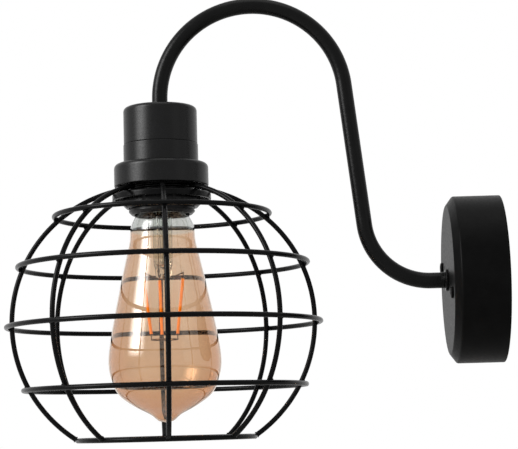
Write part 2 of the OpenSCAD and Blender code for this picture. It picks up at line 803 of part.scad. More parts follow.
// A light wire frame that joins the sticks' lower ends
module filament_foot() {
    frame_z = filament_foot_z - 3;
    post_d = lead_d * 0.8;
    color("silver") at_lamp() {
        translate([0, 0, frame_z]) rotate_extrude() translate([filament_foot_r, 0])
            circle(d = lead_d);
        for (k = [1 : FILAMENT_COUNT])
            rod_between(filament_at(k, filament_foot_r, frame_z),
                filament_at(k, filament_foot_r, filament_foot_z - seat_gap), post_d);
    }
}

// ---------------------------------------------------------------- assembly

canopy_shell();
wall_bracket();
face_screws();
earth_screw();
arm_tube();
arm_collar();
lock_washer();
lock_nut();
live_wire();
neutral_wire();
terminal_block();
terminal_screws();
holder_cap();
holder_body();
holder_core();
screw_shell();
centre_contact();
holder_terminals();
top_ring();
cage_collar();
hoop_1();
hoop_2();
hoop_3();
hoop_4();
hoop_5();
rib(1);  // rib_1
rib(2);  // rib_2
rib(3);  // rib_3
rib(4);  // rib_4
rib(5);  // rib_5
rib(6);  // rib_6
rib(7);  // rib_7
rib(8);  // rib_8
clamp_ring();
bulb_glass();
bulb_cap();
bulb_insulator();
bulb_contact();
bulb_driver();
bulb_stem();
filament(1);  // filament_1
filament(2);  // filament_2
filament(3);  // filament_3
filament(4);  // filament_4
filament_leads();
filament_foot();
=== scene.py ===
"""The looks of a cage wall light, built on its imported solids.

Lengths are in millimetres until a mesh is made. The wall is the plane Y = 0, the lamp hangs at
Y = -REACH, and Z is up.
"""

import logging
import math
from collections.abc import Callable, Sequence
from dataclasses import dataclass, field
from enum import Enum

import bpy
import numpy as np
from mathutils import Matrix


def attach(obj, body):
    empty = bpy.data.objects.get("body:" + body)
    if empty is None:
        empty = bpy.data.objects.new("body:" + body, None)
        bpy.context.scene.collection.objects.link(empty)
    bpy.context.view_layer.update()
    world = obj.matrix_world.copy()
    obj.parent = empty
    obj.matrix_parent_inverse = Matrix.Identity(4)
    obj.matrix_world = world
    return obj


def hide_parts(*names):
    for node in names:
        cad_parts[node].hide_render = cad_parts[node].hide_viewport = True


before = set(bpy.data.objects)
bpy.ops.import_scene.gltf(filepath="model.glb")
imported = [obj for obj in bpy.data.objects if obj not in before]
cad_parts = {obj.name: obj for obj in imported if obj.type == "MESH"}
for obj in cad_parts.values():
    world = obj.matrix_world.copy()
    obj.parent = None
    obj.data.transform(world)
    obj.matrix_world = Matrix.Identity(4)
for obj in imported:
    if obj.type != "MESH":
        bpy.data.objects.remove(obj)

LOG = logging.getLogger("cage_wall_light")
MM = 0.001
TURN = 2 * math.pi
REACH = 202.5
ARC_CHORDS = 5
ARC_ROOM = 0.42  # share of a straight that one corner's arc may take
HOLD_SHARE, HOLD_MOST = 0.35, 0.3  # how far beyond an arc its extra points stand

Array = np.ndarray
Vec3 = tuple[float, float, float]
Shift = tuple[Array, Array | float]
Relief = Callable[[Array, Array, Array], Shift]
Span = tuple[float, float]
Corner = tuple[float, float, float]
Socket = bpy.types.NodeSocket

X_AXIS: Vec3 = (1, 0, 0)
Y_AXIS: Vec3 = (0, 1, 0)
Z_AXIS: Vec3 = (0, 0, 1)
TO_ROOM: Vec3 = (0, -1, 0)


# ---- surfaces


@dataclass(frozen=True)
class CentreLine:
    """A line in one plane: straight lengths and bends that meet without a kink.

    The plane has the axes u and v. A step is (length, turn), and heading and turn are in
    degrees, from u towards v.
    """

    origin: Vec3
    u: Vec3
    v: Vec3
    start: Span = (0, 0)
    heading: float = 0
    steps: tuple[Span, ...] = ((1, 0),)

    @property
    def length(self) -> float:
        """Length of the whole line."""
        return sum(step[0] for step in self.steps)

    def at(self, s: Array) -> tuple[Array, Array]:
        """Points and unit directions on the line.

        A step of curvature k covers in t a chord of t sinc(k t / 2), which points half way
        between its first heading and its last. The steps' chords add up to each step's start.

        Args:
            s: distances from the line's start, in any shape.

        Returns:
            The points and the directions, each with a last axis of three.
        """
        lengths, turns = np.array(self.steps, float).T
        bends = np.radians(turns) / lengths
        begins = np.cumsum(lengths) - lengths
        headings = math.radians(self.heading) + np.cumsum(np.radians(turns)) - np.radians(turns)

        def chord(t: Array, bend: Array, heading: Array) -> Array:
            """Run of t along a step, as a complex number."""
            return t * np.sinc(bend * t / TURN) * np.exp(1j * (heading + bend * t / 2))

        whole = chord(lengths, bends, headings)
        starts = complex(*self.start) + np.cumsum(whole) - whole
        i = np.clip(np.searchsorted(begins, s, side="right") - 1, 0, len(lengths) - 1)
        t = s - begins[i]
        place = starts[i] + chord(t, bends[i], headings[i])
        way = np.exp(1j * (headings[i] + bends[i] * t))
        u, v = np.array(self.u, float), np.array(self.v, float)
        points = self.origin + place.real[..., None] * u + place.imag[..., None] * v
        return points, way.real[..., None] * u + way.imag[..., None] * v


@dataclass(frozen=True)
class Surface:
    """Points and four-cornered faces. A face with a repeated corner is a triangle."""

    points: Array
    faces: Array

    @staticmethod
    def from_grid(points: Array, closed: bool, poles: Array) -> "Surface":
        """A grid of points with a face between each four neighbours, whose rows are rings.

        Args:
            points: the grid, rows by columns by three.
            closed: whether the last row meets the first.
            poles: for each row, whether all of its points are one point.

        Returns:
            The surface, whose faces look to the left of the rows' run.
        """
        rows, columns = points.shape[:2]
        index = np.arange(rows * columns).reshape(rows, columns)
        index = np.where(poles[:, None], index[:, :1], index)
        index = np.vstack([index, index[:1]]) if closed else index
        grid = np.hstack([index, index[:, :1]])
        around = [grid[:-1, :-1], grid[:-1, 1:], grid[1:, 1:], grid[1:, :-1]]
        faces = np.stack(around, axis=-1).reshape(-1, 4)
        flat = (faces[:, 0] == faces[:, 1]) & (faces[:, 2] == faces[:, 3])
        used, compact = np.unique(faces[~flat], return_inverse=True)
        return Surface(points.reshape(-1, 3)[used], compact.reshape(-1, 4))

    @staticmethod
    def joined(parts: Sequence["Surface"]) -> "Surface":
        """Several surfaces as one."""
        shifts = np.cumsum([0] + [len(part.points) for part in parts[:-1]])
        faces = [part.faces + shift for part, shift in zip(parts, shifts)]
        return Surface(np.concatenate([part.points for part in parts]), np.concatenate(faces))

    def object(self, name: str) -> bpy.types.Object:
        """A smooth mesh object of the surface, in metres."""
        keep = self.faces != np.roll(self.faces, -1, axis=1)
        corners, totals = self.faces[keep], keep.sum(axis=1)
        mesh = bpy.data.meshes.new(name)
        mesh.vertices.add(len(self.points))
        mesh.vertices.foreach_set("co", (self.points * MM).astype(np.float32).ravel())
        mesh.loops.add(len(corners))
        mesh.loops.foreach_set("vertex_index", corners.astype(np.int32))
        mesh.polygons.add(len(totals))
        mesh.polygons.foreach_set("loop_start", (np.cumsum(totals) - totals).astype(np.int32))
        mesh.polygons.foreach_set("use_smooth", np.ones(len(totals), bool))
        mesh.update(calc_edges=True)
        mesh.validate()
        piece = bpy.data.objects.new(name, mesh)
        bpy.context.scene.collection.objects.link(piece)
        return piece


def pairs(s: Array | float, r: Array | float) -> Array:
    """Profile points (s, r) from their parts, of which one may be a single number."""
    return np.stack(np.broadcast_arrays(s, r), axis=1)


def rounded(corners: Sequence[Corner]) -> Array:
    """A closed profile of straights whose corners are arcs.

    An arc of radius q that turns by w starts q tan(w / 2) before its corner. Each arc has one
    more point just outside either end, which keeps the straights flat in smooth shading.

    Args:
        corners: (s, r, radius) for each corner in order.

    Returns:
        The profile's points (s, r).
    """
    given = np.array(corners, float)
    place, radius = given[:, 0] + 1j * given[:, 1], given[:, 2]
    come = place - np.roll(place, 1)
    go = np.roll(come, -1)
    room = ARC_ROOM * np.minimum(np.abs(come), np.abs(go))
    come, go = come / np.abs(come), go / np.abs(go)
    turn = np.angle(go * come.conj())
    back = np.minimum(np.abs(radius * np.tan(turn / 2)), room)
    bend = back / np.maximum(np.abs(np.tan(turn / 2)), 1e-9)
    first = place - come * back
    centre = first + 1j * np.sign(turn) * bend * come
    arcs = (first - centre)[:, None] * np.exp(1j * turn[:, None] * np.linspace(0, 1, ARC_CHORDS + 1))
    hold = np.minimum(back * HOLD_SHARE, HOLD_MOST)
    before, after = first - come * hold, place + go * (back + hold)
    points = np.column_stack([before, centre[:, None] + arcs, after])
    points[radius <= 0] = place[radius <= 0][:, None]
    flat = points.ravel()
    return pairs(flat.real, flat.imag)[np.abs(flat - np.roll(flat, 1)) > 1e-6]


def carried(
    line: CentreLine, profile: Array, sides: int, closed: bool = False, relief: Relief | None = None
) -> Surface:
    """A round profile carried along a centre line.

    A point at the distance s and angle a is line(s) + r (cos a side + sin a normal), where side
    is the plane's normal cross the line's direction.

    Args:
        line: the centre line.
        profile: (s, r) points, outer walls towards growing s and inner walls back.
        sides: number of columns round the line.
        closed: whether the profile's last point meets its first.
        relief: takes s, r and the angle and gives what is added to r and to s.

    Returns:
        The surface. A row of radius 0 becomes one point.
    """
    s = np.broadcast_to(profile[:, :1], (len(profile), sides))
    r = np.broadcast_to(profile[:, 1:], s.shape)
    a = np.broadcast_to(np.arange(sides) * TURN / sides, s.shape)
    poles = profile[:, 1] < 1e-9
    if relief:
        more_r, more_s = relief(s, r, a)
        r, s = np.where(poles[:, None], 0, r + more_r), s + more_s
    middle, way = line.at(s)
    normal = np.cross(line.u, line.v)
    side = np.cross(normal, way)
    points = middle + r[..., None] * (np.cos(a)[..., None] * side + np.sin(a)[..., None] * normal)
    return Surface.from_grid(points, closed, poles)


def with_rows(profile: Array, spacing: float) -> Array:
    """The same profile with more points, no further apart than spacing along each straight."""
    gaps = np.linalg.norm(np.diff(profile, axis=0), axis=1)
    counts = np.maximum(np.ceil(gaps / spacing), 1).astype(int)
    place = np.repeat(np.arange(len(gaps)), counts)
    share = (np.arange(counts.sum()) - (np.cumsum(counts) - counts)[place]) / counts[place]
    inner = profile[place] + share[:, None] * (profile[place + 1] - profile[place])
    return np.vstack([inner, profile[-1:]])


def screw_thread(pitch: float, depth: float, low: float, high: float, above: float) -> Relief:
    """A thread cut into a round wall, as a relief for carried().

    The wall sinks by depth (1 - cos(2 pi (s / pitch - a / turn))) / 2 between low and high, and
    runs out over half a pitch at either end.

    Args:
        pitch: distance between two crests.
        depth: from crest to root.
        low: where the thread starts along s.
        high: where it ends.
        above: only walls of a larger radius are cut.
    """

    def relief(s: Array, r: Array, a: Array) -> Shift:
        """Sinks the wall along the helix."""
        runout = np.clip(np.minimum(s - low, high - s) / (pitch / 2), 0, 1)
        wave = (1 - np.cos(TURN * s / pitch - a)) / 2
        return -depth * wave * runout * (r > above), 0.0

    return relief


def smooth_curve(through: Sequence[Span], steps: int) -> Array:
    """A Catmull-Rom curve through points, with so many steps between each pair."""
    points = np.array(through, float)
    padded = np.vstack([points[:1], points, points[-1:]])
    a, b, c, d = padded[:-3, None], padded[1:-2, None], padded[2:-1, None], padded[3:, None]
    t = (np.arange(steps) / steps)[None, :, None]
    curve = 0.5 * (
        2 * b + (c - a) * t + (2 * a - 5 * b + 4 * c - d) * t**2 + (3 * b - a - 3 * c + d) * t**3
    )
    return np.vstack([curve.reshape(-1, 2), points[-1:]])


def rounded_rod(radius: float, length: float, edge: float, rows: int) -> Array:
    """Profile of a solid rod with rounded ends, from pole to pole."""
    a = np.linspace(0, math.pi / 2, 5)
    start = pairs(edge * (1 - np.cos(a)), radius - edge + edge * np.sin(a))
    end = pairs(length - start[::-1, 0], start[::-1, 1])
    middle = pairs(np.linspace(edge, length - edge, rows + 2)[1:-1], radius)
    return np.vstack([[[0, 0]], start, middle, end, [[length, 0]]])


# ---- finishes


def linear(code: str) -> tuple[float, float, float, float]:
    """An sRGB hex colour such as #20242A as linear red, green and blue, with full alpha."""
    parts = [int(code[i : i + 2], 16) / 255 for i in (1, 3, 5)]
    red, green, blue = (c / 12.92 if c <= 0.04045 else ((c + 0.055) / 1.055) ** 2.4 for c in parts)
    return red, green, blue, 1


class Shading:
    """The node tree of a material, a lamp or the world, built up from nothing."""

    def __init__(self, owner: bpy.types.ID) -> None:
        """Empties the owner's tree."""
        owner.use_nodes = True
        self.tree = owner.node_tree
        self.tree.nodes.clear()

    def add(self, kind: str, inputs: dict | None = None, **settings: object) -> bpy.types.Node:
        """A node with its settings, whose inputs are constants or other nodes' outputs."""
        node = self.tree.nodes.new(f"ShaderNode{kind}")
        for name, value in settings.items():
            setattr(node, name, value)
        for name, value in (inputs or {}).items():
            if isinstance(value, Socket):
                self.tree.links.new(value, node.inputs[name])
            else:
                node.inputs[name].default_value = value
        return node

    def place(self) -> Socket:
        """The point on the object, in its own metres."""
        return self.add("TexCoord").outputs["Object"]

    def math(self, operation: str, one: Socket, other: Socket | float = 0.0) -> Socket:
        """The result of one or two numbers."""
        return self.add("Math", {0: one, 1: other}, operation=operation).outputs[0]

    def mapped(self, value: Socket, given: Span, to: Span = (0.0, 1.0), smooth: bool = False) -> Socket:
        """A value carried over from one range to another and held inside it."""
        ends = {"From Min": given[0], "From Max": given[1], "To Min": to[0], "To Max": to[1]}
        way = "SMOOTHSTEP" if smooth else "LINEAR"
        return self.add("MapRange", {"Value": value, **ends}, interpolation_type=way).outputs["Result"]

    def noise(self, size_mm: float, detail: float, roughness: float) -> Socket:
        """Clouds on the object whose features are about size_mm across."""
        scale = 1 / (size_mm * MM)
        look = {"Vector": self.place(), "Scale": scale, "Detail": detail, "Roughness": roughness}
        return self.add("TexNoise", look).outputs["Fac"]

    def ramp(self, share: Socket, *stops: tuple[float, str]) -> Socket:
        """The colour between two stops, each a share and a hex colour."""
        ramp = self.add("ValToRGB", {"Fac": share})
        for element, (position, code) in zip(ramp.color_ramp.elements, stops):
            element.position, element.color = position, linear(code)
        return ramp.outputs["Color"]

    def blend(self, share: Socket, colour: Socket, code: str, way: str = "MIX") -> Socket:
        """A colour that goes over into a hex colour as the share rises."""
        inputs = {"Factor": share, 6: colour, 7: linear(code)}
        return self.add("Mix", inputs, data_type="RGBA", blend_type=way).outputs[2]

    def either(self, share: Socket, one: Socket, other: Socket) -> Socket:
        """One shader that goes over into another as the share rises."""
        return self.add("MixShader", {0: share, 1: one, 2: other}).outputs[0]

    def end(self, shader: Socket, of: str = "Material") -> None:
        """Leads the shader to the tree's output."""
        self.add(f"Output{of}", {"Surface": shader})


@dataclass(frozen=True)
class SurfaceFinish:
    """An opaque finish: two tones, a range of roughness and a relief, each with its grain."""

    name: str
    dark: str
    light: str
    tone_mm: float
    roughness: Span
    grain_mm: float
    bump: float
    metallic: float = 0
    specular: float = 0.5
    coat: float = 0
    subsurface: float = 0
    # painted light: an emission in the finish's own colour, for parts that lamp light doesn't reach
    glow: float = 0

    def material(self) -> bpy.types.Material:
        """The finish as a node material on Object coordinates."""
        made = bpy.data.materials.new(self.name)
        nodes = Shading(made)
        colour = nodes.ramp(nodes.noise(self.tone_mm, 4, 0.6), (0.35, self.dark), (0.68, self.light))
        grain = nodes.noise(self.grain_mm, 2, 0.55)
        bump = nodes.add("Bump", {"Height": grain, "Strength": 1.0, "Distance": self.bump * MM})
        look = {
            "Base Color": colour, "Roughness": nodes.mapped(grain, (0.3, 0.7), self.roughness),
            "Normal": bump.outputs["Normal"], "Metallic": self.metallic,
            "Specular IOR Level": self.specular, "Coat Weight": self.coat, "Coat Roughness": 0.12,
        }
        if self.subsurface:
            look |= {"Subsurface Weight": self.subsurface, "Subsurface Scale": 0.002}
        # Painted light: the part glows in its own colour in place of the lamp light it doesn't get
        if self.glow:
            look |= {"Emission Color": colour, "Emission Strength": self.glow}
        nodes.end(nodes.add("BsdfPrincipled", look).outputs["BSDF"])
        return made


@dataclass(frozen=True)
class GlassFinish:
    """Blown glass, clear above a height and tinted by a coating below it.

    Seen askew, light crosses more of the coating, so the tint deepens towards the limb. The
    tint also deepens towards the foot.
    """

    name: str
    clear: str
    tint: str
    limb: str
    foot_tint: str
    edge_z: float
    fade: float
    run: Span = (25, 105)

    def material(self) -> bpy.types.Material:
        """The glass as a node material, with the coating's edge at its height on Object Z."""
        made = bpy.data.materials.new(self.name)
        nodes = Shading(made)
        height = nodes.add("SeparateXYZ", {"Vector": nodes.place()}).outputs["Z"]
        bare = nodes.mapped(height, ((self.edge_z - self.fade) * MM, self.edge_z * MM))
        low = nodes.mapped(height, ((self.edge_z - self.run[0]) * MM, (self.edge_z - self.run[1]) * MM))
        facing = nodes.add("LayerWeight", {"Blend": 0.5}).outputs["Facing"]
        askew = nodes.ramp(facing, (0.1, self.tint), (1.0, self.limb))
        # The tint multiplies in towards the foot, which makes the lower glass darker
        coated = nodes.blend(low, askew, self.foot_tint, "MULTIPLY")
        look = {"Base Color": nodes.blend(bare, coated, self.clear), "Roughness": 0.0, "IOR": 1.5}
        shader = nodes.add("BsdfPrincipled", {**look, "Transmission Weight": 1.0})
        nodes.end(shader.outputs["BSDF"])
        return made


class Finish(Enum):
    """The finishes of the light, each named for its real material."""

    # Polyester powder baked on pressed steel: satin, with a shallow orange peel about 1 mm wide
    CANOPY = SurfaceFinish(
        "powder_coated_steel_canopy", "#040404", "#080808", 9, (0.34, 0.46), 1.4, 0.03, specular=0.045
    )
    # The same powder on bent tube, with more orange peel, which breaks up its long highlight
    TUBE = SurfaceFinish(
        "powder_coated_steel_tube", "#040404", "#080808", 6, (0.22, 0.34), 1.6, 0.07, specular=0.1
    )
    # Thin black stove enamel on welded wire, smoother than the tube
    WIRE = SurfaceFinish(
        "enamelled_steel_wire", "#040404", "#070708", 5, (0.2, 0.32), 1.5, 0.04, specular=0.07
    )
    # Glass-filled PBT moulded in an eroded tool: matt skin with a fine even grain
    HOLDER = SurfaceFinish(
        "moulded_pbt_holder", "#040404", "#080809", 8, (0.25, 0.35), 1.2, 0.025, specular=0.17
    )
    # Bright zinc plate on steel with a bluish passivated skin in soft clouds
    ZINC = SurfaceFinish("zinc_plated_steel", "#9DA2A8", "#BFC3C8", 7, (0.3, 0.45), 1.0, 0.01, metallic=1)
    # Turned brass left bare, with slightly darker clouds where it has tarnished
    BRASS = SurfaceFinish("turned_brass", "#9C7A38", "#D2AE62", 5, (0.22, 0.38), 0.8, 0.008, metallic=1)
    # Unglazed white steatite, pressed and fired: matt with grey specks
    CERAMIC = SurfaceFinish("steatite_ceramic", "#D9D4C8", "#EFECE4", 2.5, (0.5, 0.7), 0.6, 0.02)
    # Natural polyamide moulding: milky and slightly waxy
    POLYAMIDE = SurfaceFinish(
        "natural_polyamide", "#DAD8CF", "#ECEBE5", 6, (0.32, 0.45), 1.0, 0.01, subsurface=0.3
    )
    # Extruded PVC insulation with faint draw lines
    BROWN_PVC = SurfaceFinish("brown_pvc_insulation", "#4A2A16", "#5E3820", 4, (0.35, 0.48), 0.7, 0.01)
    BLUE_PVC = SurfaceFinish("blue_pvc_insulation", "#143E7C", "#1F56A0", 4, (0.35, 0.48), 0.7, 0.01)
    # Nickel plate on the bulb's drawn cap, with a warm cast
    NICKEL = SurfaceFinish(
        "nickel_plated_bulb_cap", "#9A958A", "#C4BEB0", 6, (0.2, 0.34), 1.0, 0.008, metallic=1
    )
    # Black vitreous insulator fused into the cap
    VITRITE = SurfaceFinish("black_vitrite", "#0B0B0E", "#15151A", 4, (0.12, 0.25), 1.2, 0.02)
    # Tin solder, wiped while soft
    SOLDER = SurfaceFinish("tin_solder", "#A8AAAC", "#CFD1D3", 2, (0.25, 0.5), 1.0, 0.06, metallic=1)
    # Green solder resist on glass-epoxy board
    BOARD = SurfaceFinish(
        "epoxy_circuit_board", "#0F4A2A", "#1A6238", 3, (0.3, 0.45), 0.6, 0.01, coat=0.3
    )
    # Nickel-iron lead wire, browned by the flame when the stem was sealed
    LEAD = SurfaceFinish(
        "nickel_iron_lead_wire", "#4A3828", "#8C7355", 2, (0.3, 0.45), 0.8, 0.01, metallic=1
    )
    # Silicone loaded with orange phosphor, dipped over a row of chips: soft and matt. Its glow is
    # painted light, standing in for the lamp light that the bulb's glass keeps from the sticks
    PHOSPHOR = SurfaceFinish(
        "phosphor_silicone", "#F07E00", "#FF9A10", 2.4, (0.4, 0.55), 1.0, 0.04, glow=0.6
    )
    # Blown soda-lime glass with an amber lacquer up to the neck, which stays clear
    AMBER_GLASS = GlassFinish(
        "amber_lacquered_glass", "#D8DAD8", "#E5D3C0", "#D8AA85", "#F8ECDF", 34.6, 1.2
    )
    # Drawn clear tube glass of the stem
    CLEAR_GLASS = GlassFinish("clear_stem_glass", "#EDEFEC", "#EDEFEC", "#DDE2DE", "#FFFFFF", 34.6, 1.0)

    def material(self) -> bpy.types.Material:
        """The finish's material, made once."""
        return bpy.data.materials.get(self.value.name) or self.value.material()


def place_piece(name: str, surface: Surface, body: str, finish: Finish, slot: str, *nodes: str) -> None:
    """Makes a piece from its surface, finishes it and hangs it on its body.

    Args:
        name: the piece's name.
        surface: its shape.
        body: the body it rides on.
        finish: what its surface is.
        slot: not used.
        nodes: the CAD nodes it stands for.
    """
    piece = surface.object(name)
    piece.data.materials.append(finish.material())
    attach(piece, body)
    if nodes:
        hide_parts(*nodes)
    LOG.info("%s: %d faces on %s", name, len(surface.faces), body)


def finish_nodes(finish: Finish, *nodes: str) -> None:
    """Gives CAD nodes that stay showing their finish."""
    for node in nodes:
        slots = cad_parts[node].data.materials
        slots.clear()
        slots.append(finish.material())
        LOG.info("%s: CAD node in %s", node, finish.value.name)


LAMP_AXIS = CentreLine((0, -REACH, 0), Z_AXIS, X_AXIS)
CANOPY_AXIS = CentreLine((0, 0, 0), TO_ROOM, X_AXIS)


def turned(corners: Sequence[Corner], sides: int = 160) -> Surface:
    """A ring turned round the lamp's axis from its (Z, radius, edge radius) corners."""
    return carried(LAMP_AXIS, rounded(corners), sides, closed=True)


# ---- canopy


@dataclass
class Canopy:
    """The pressed pan on the wall, its bar, and the screws that hold them together."""

    diameter: float = 100
    depth: float = 32
    wall: float = 1.2
    bevel_width: float = 5.4
    bevel_depth: float = 4
    bore: float = 10.16
    screw_spacing: float = 66
    screw_tilt: float = 17
    screw_d: float = 4
    head_d: float = 7
    head_height: float = 1.6
    earth_x: float = 15.5

    def shell(self) -> Surface:
        """The pan as one closed profile turned round the canopy's axis."""
        r, d, t = self.diameter / 2, self.depth, self.wall
        slant = math.atan2(self.bevel_width, self.bevel_depth)
        side = t * math.tan(slant / 2)
        face = t * math.tan(math.pi / 4 - slant / 2)
        corners = [
            (0, r, 0.3), (d - self.bevel_depth, r, 1.6), (d, r - self.bevel_width, 1.6),
            (d, self.bore / 2, 0.2), (d - t, self.bore / 2, 0.2),
            (d - t, r - self.bevel_width - face, 0.8), (d - self.bevel_depth - side, r - t, 0.8),
            (0, r - t, 0.3),
        ]
        return carried(CANOPY_AXIS, rounded(corners), sides=240, closed=True)

    def on_bar(self, along: float) -> CentreLine:
        """A line out of the wall from a place along the bar."""
        tilt = math.radians(self.screw_tilt)
        return CentreLine((along * math.cos(tilt), 0, -along * math.sin(tilt)), TO_ROOM, X_AXIS)

    def screw(self, side: int) -> Surface:
        """One long screw: a cross recess in a low dome, and a thread behind the face."""
        r, top = self.head_d / 2, self.depth + self.head_height
        shank = with_rows(pairs(np.array([1.4, self.depth - 1.2]), self.screw_d / 2), 0.09)
        dome = np.linspace(1, 0, 26)
        head = pairs(top - 0.5 * dome**4, r * dome)
        seat = self.depth + 0.02
        under = [[seat, self.screw_d / 2], [seat, r - 0.15], [self.depth + 0.2, r]]
        profile = np.vstack([[[1.0, 0], [1.0, 1.5]], shank, under, head])

        thread = screw_thread(pitch=0.7, depth=0.42, low=1.2, high=self.depth - 1.4, above=1.9)

        def relief(s: Array, radius: Array, a: Array) -> Shift:
            """The recess sinks where either bar of a cross covers the head, with sloping sides."""
            cut, _ = thread(s, radius, a)
            x, y = radius * np.cos(a + 0.5 * side), radius * np.sin(a + 0.5 * side)

            def bar(p: Array, q: Array) -> Array:
                """One bar of the cross: 0.85 mm wide and 3.6 mm long, halfway down its sides."""
                return np.clip((0.55 - abs(p)) / 0.25, 0, 1) * np.clip((2.05 - abs(q)) / 0.5, 0, 1)

            depth = 0.9 * np.maximum(bar(x, y), bar(y, x))
            return cut, np.where(s > self.depth + 0.9, -depth, 0)

        return carried(self.on_bar(side * self.screw_spacing / 2), profile, sides=72, relief=relief)

    def earth_screw(self) -> Surface:
        """A slotted cheese-head screw on the bar, with its serrated washer under the head."""
        rows = np.linspace(1, 0, 20)
        head = pairs(4.2 - 0.35 * rows**4, 2.8 * rows)
        profile = np.vstack([[[0.1, 0], [0.1, 1.6], [2.06, 1.6], [2.06, 3], [2.5, 3], [2.55, 2.8]], head])

        def relief(s: Array, r: Array, a: Array) -> Shift:
            """A slot sinks across the head, and the washer's rim is serrated."""
            slot = np.clip((0.5 - np.abs(r * np.sin(a))) / 0.15, 0, 1) * (s > 3.4)
            teeth = 0.25 * np.cos(12 * a) * (r > 2.95)
            return teeth - 0.25 * (r > 2.95), -1.0 * slot

        return carried(self.on_bar(self.earth_x), profile, sides=96, relief=relief)

    def build(self) -> None:
        """Makes the canopy's pieces and finishes its bar."""
        place_piece("canopy_pan", self.shell(), "canopy", Finish.CANOPY, "canopy", "canopy_shell")
        screws = Surface.joined([self.screw(1), self.screw(-1)])
        place_piece("canopy_screws", screws, "canopy", Finish.CANOPY, "fixing", "face_screws")
        place_piece("earth_terminal", self.earth_screw(), "canopy", Finish.BRASS, "brass", "earth_screw")
        finish_nodes(Finish.ZINC, "wall_bracket")


# ---- arm


@dataclass
class Arm:
    """The swan-neck tube with its threads and nuts, and the wires inside."""

    arch_height: float = 115
    foot_bend: float = 39
    lean: float = 6.3
    thread_foot: float = 104
    end_y: float = -24.9
    face_y: float = -32
    neck: float = 10
    thread_show: float = 4
    tube_d: float = 9.5
    bore: float = 7.5
    thread_d: float = 10
    cap_neck: float = 6
    collar_d: float = 12.8
    collar_t: float = 1.5

    @property
    def arch_bend(self) -> float:
        """Radius of the arch, which takes up what the reach leaves."""
        lean = math.radians(self.lean)
        room = REACH + self.face_y - self.neck - self.foot_bend / math.cos(lean)
        return (room - (self.arch_height - self.foot_bend) * math.tan(lean)) / (1 + 1 / math.cos(lean))

    def line(self) -> CentreLine:
        """The tube's centre line, from the holder up, over the arch and into the canopy."""
        lean = math.radians(self.lean)
        arch, foot = self.arch_bend, self.foot_bend
        rise = (self.arch_height + (arch + foot) * math.sin(lean) - foot) / math.cos(lean)
        foot_y = -REACH + arch + (arch + foot) * math.cos(lean) + rise * math.sin(lean)
        steps = (
            (self.arch_height - self.thread_foot, 0),
            (arch * math.radians(180 - self.lean), self.lean - 180), (rise, 0),
            (foot * math.radians(90 - self.lean), 90 - self.lean), (self.end_y - foot_y, 0),
        )
        return CentreLine((0, 0, 0), Y_AXIS, Z_AXIS, (-REACH, self.thread_foot), 90, steps)

    def tube(self) -> Surface:
        """The tube's outer and inner walls, and a threaded sleeve at each end."""
        line = self.line()
        r, bore, end = self.tube_d / 2, self.bore / 2, line.length
        rows = np.arange(0.5, end - 0.5, 1.6)
        first = [[0.1, bore + 0.2], [0.1, r - 0.2]]
        last = [[end - 0.1, r - 0.2], [end - 0.1, bore + 0.2]]
        walls = np.vstack([first, pairs(rows, r), last, pairs(rows[::-3], bore)])
        shown_y = self.face_y - self.thread_show
        at_wall = CentreLine((0, 0, 0), Y_AXIS, Z_AXIS, (shown_y, 0))
        at_holder = CentreLine((0, 0, 0), Z_AXIS, Y_AXIS, (self.thread_foot, -REACH))
        sleeves = [self.sleeve(at_wall, self.end_y - shown_y), self.sleeve(at_holder, self.cap_neck)]
        return Surface.joined([carried(line, walls, sides=64, closed=True), *sleeves])

    def sleeve(self, line: CentreLine, length: float) -> Surface:
        """A short sleeve with a fine thread of 1 mm pitch, chamfered at both ends."""
        r, bore = self.thread_d / 2, self.tube_d / 2 - 0.5
        wall = with_rows(pairs(np.array([0.5, length - 0.5]), r), 0.12)
        profile = np.vstack([[[0, bore], [0, r - 0.5]], wall, [[length, r - 0.5], [length, bore]]])
        thread = screw_thread(pitch=1, depth=0.3, low=0.5, high=length - 0.5, above=bore + 0.2)
        return carried(line, profile, sides=64, closed=True, relief=thread)

    def collar(self) -> Surface:
        """The thin round nut outside the canopy, with chamfered edges."""
        r, t, bore = self.collar_d / 2, self.collar_t, self.thread_d / 2
        line = CentreLine((0, self.face_y - 0.05, 0), TO_ROOM, X_AXIS)
        profile = rounded([(0, r, 0.2), (t, r, 0.5), (t, bore, 0.2), (0, bore, 0.1)])
        return carried(line, profile, sides=96, closed=True)

    def build(self) -> None:
        """Makes the arm's pieces and finishes those inside the canopy."""
        place_piece("arm_swan_neck", self.tube(), "arm", Finish.TUBE, "tube", "arm_tube")
        place_piece("arm_round_nut", self.collar(), "arm", Finish.TUBE, "tube", "arm_collar")
        finish_nodes(Finish.ZINC, "lock_washer", "terminal_screws")
        finish_nodes(Finish.BRASS, "lock_nut")
        finish_nodes(Finish.BROWN_PVC, "live_wire")
        finish_nodes(Finish.BLUE_PVC, "neutral_wire")
        finish_nodes(Finish.POLYAMIDE, "terminal_block")


# ---- lamp holder


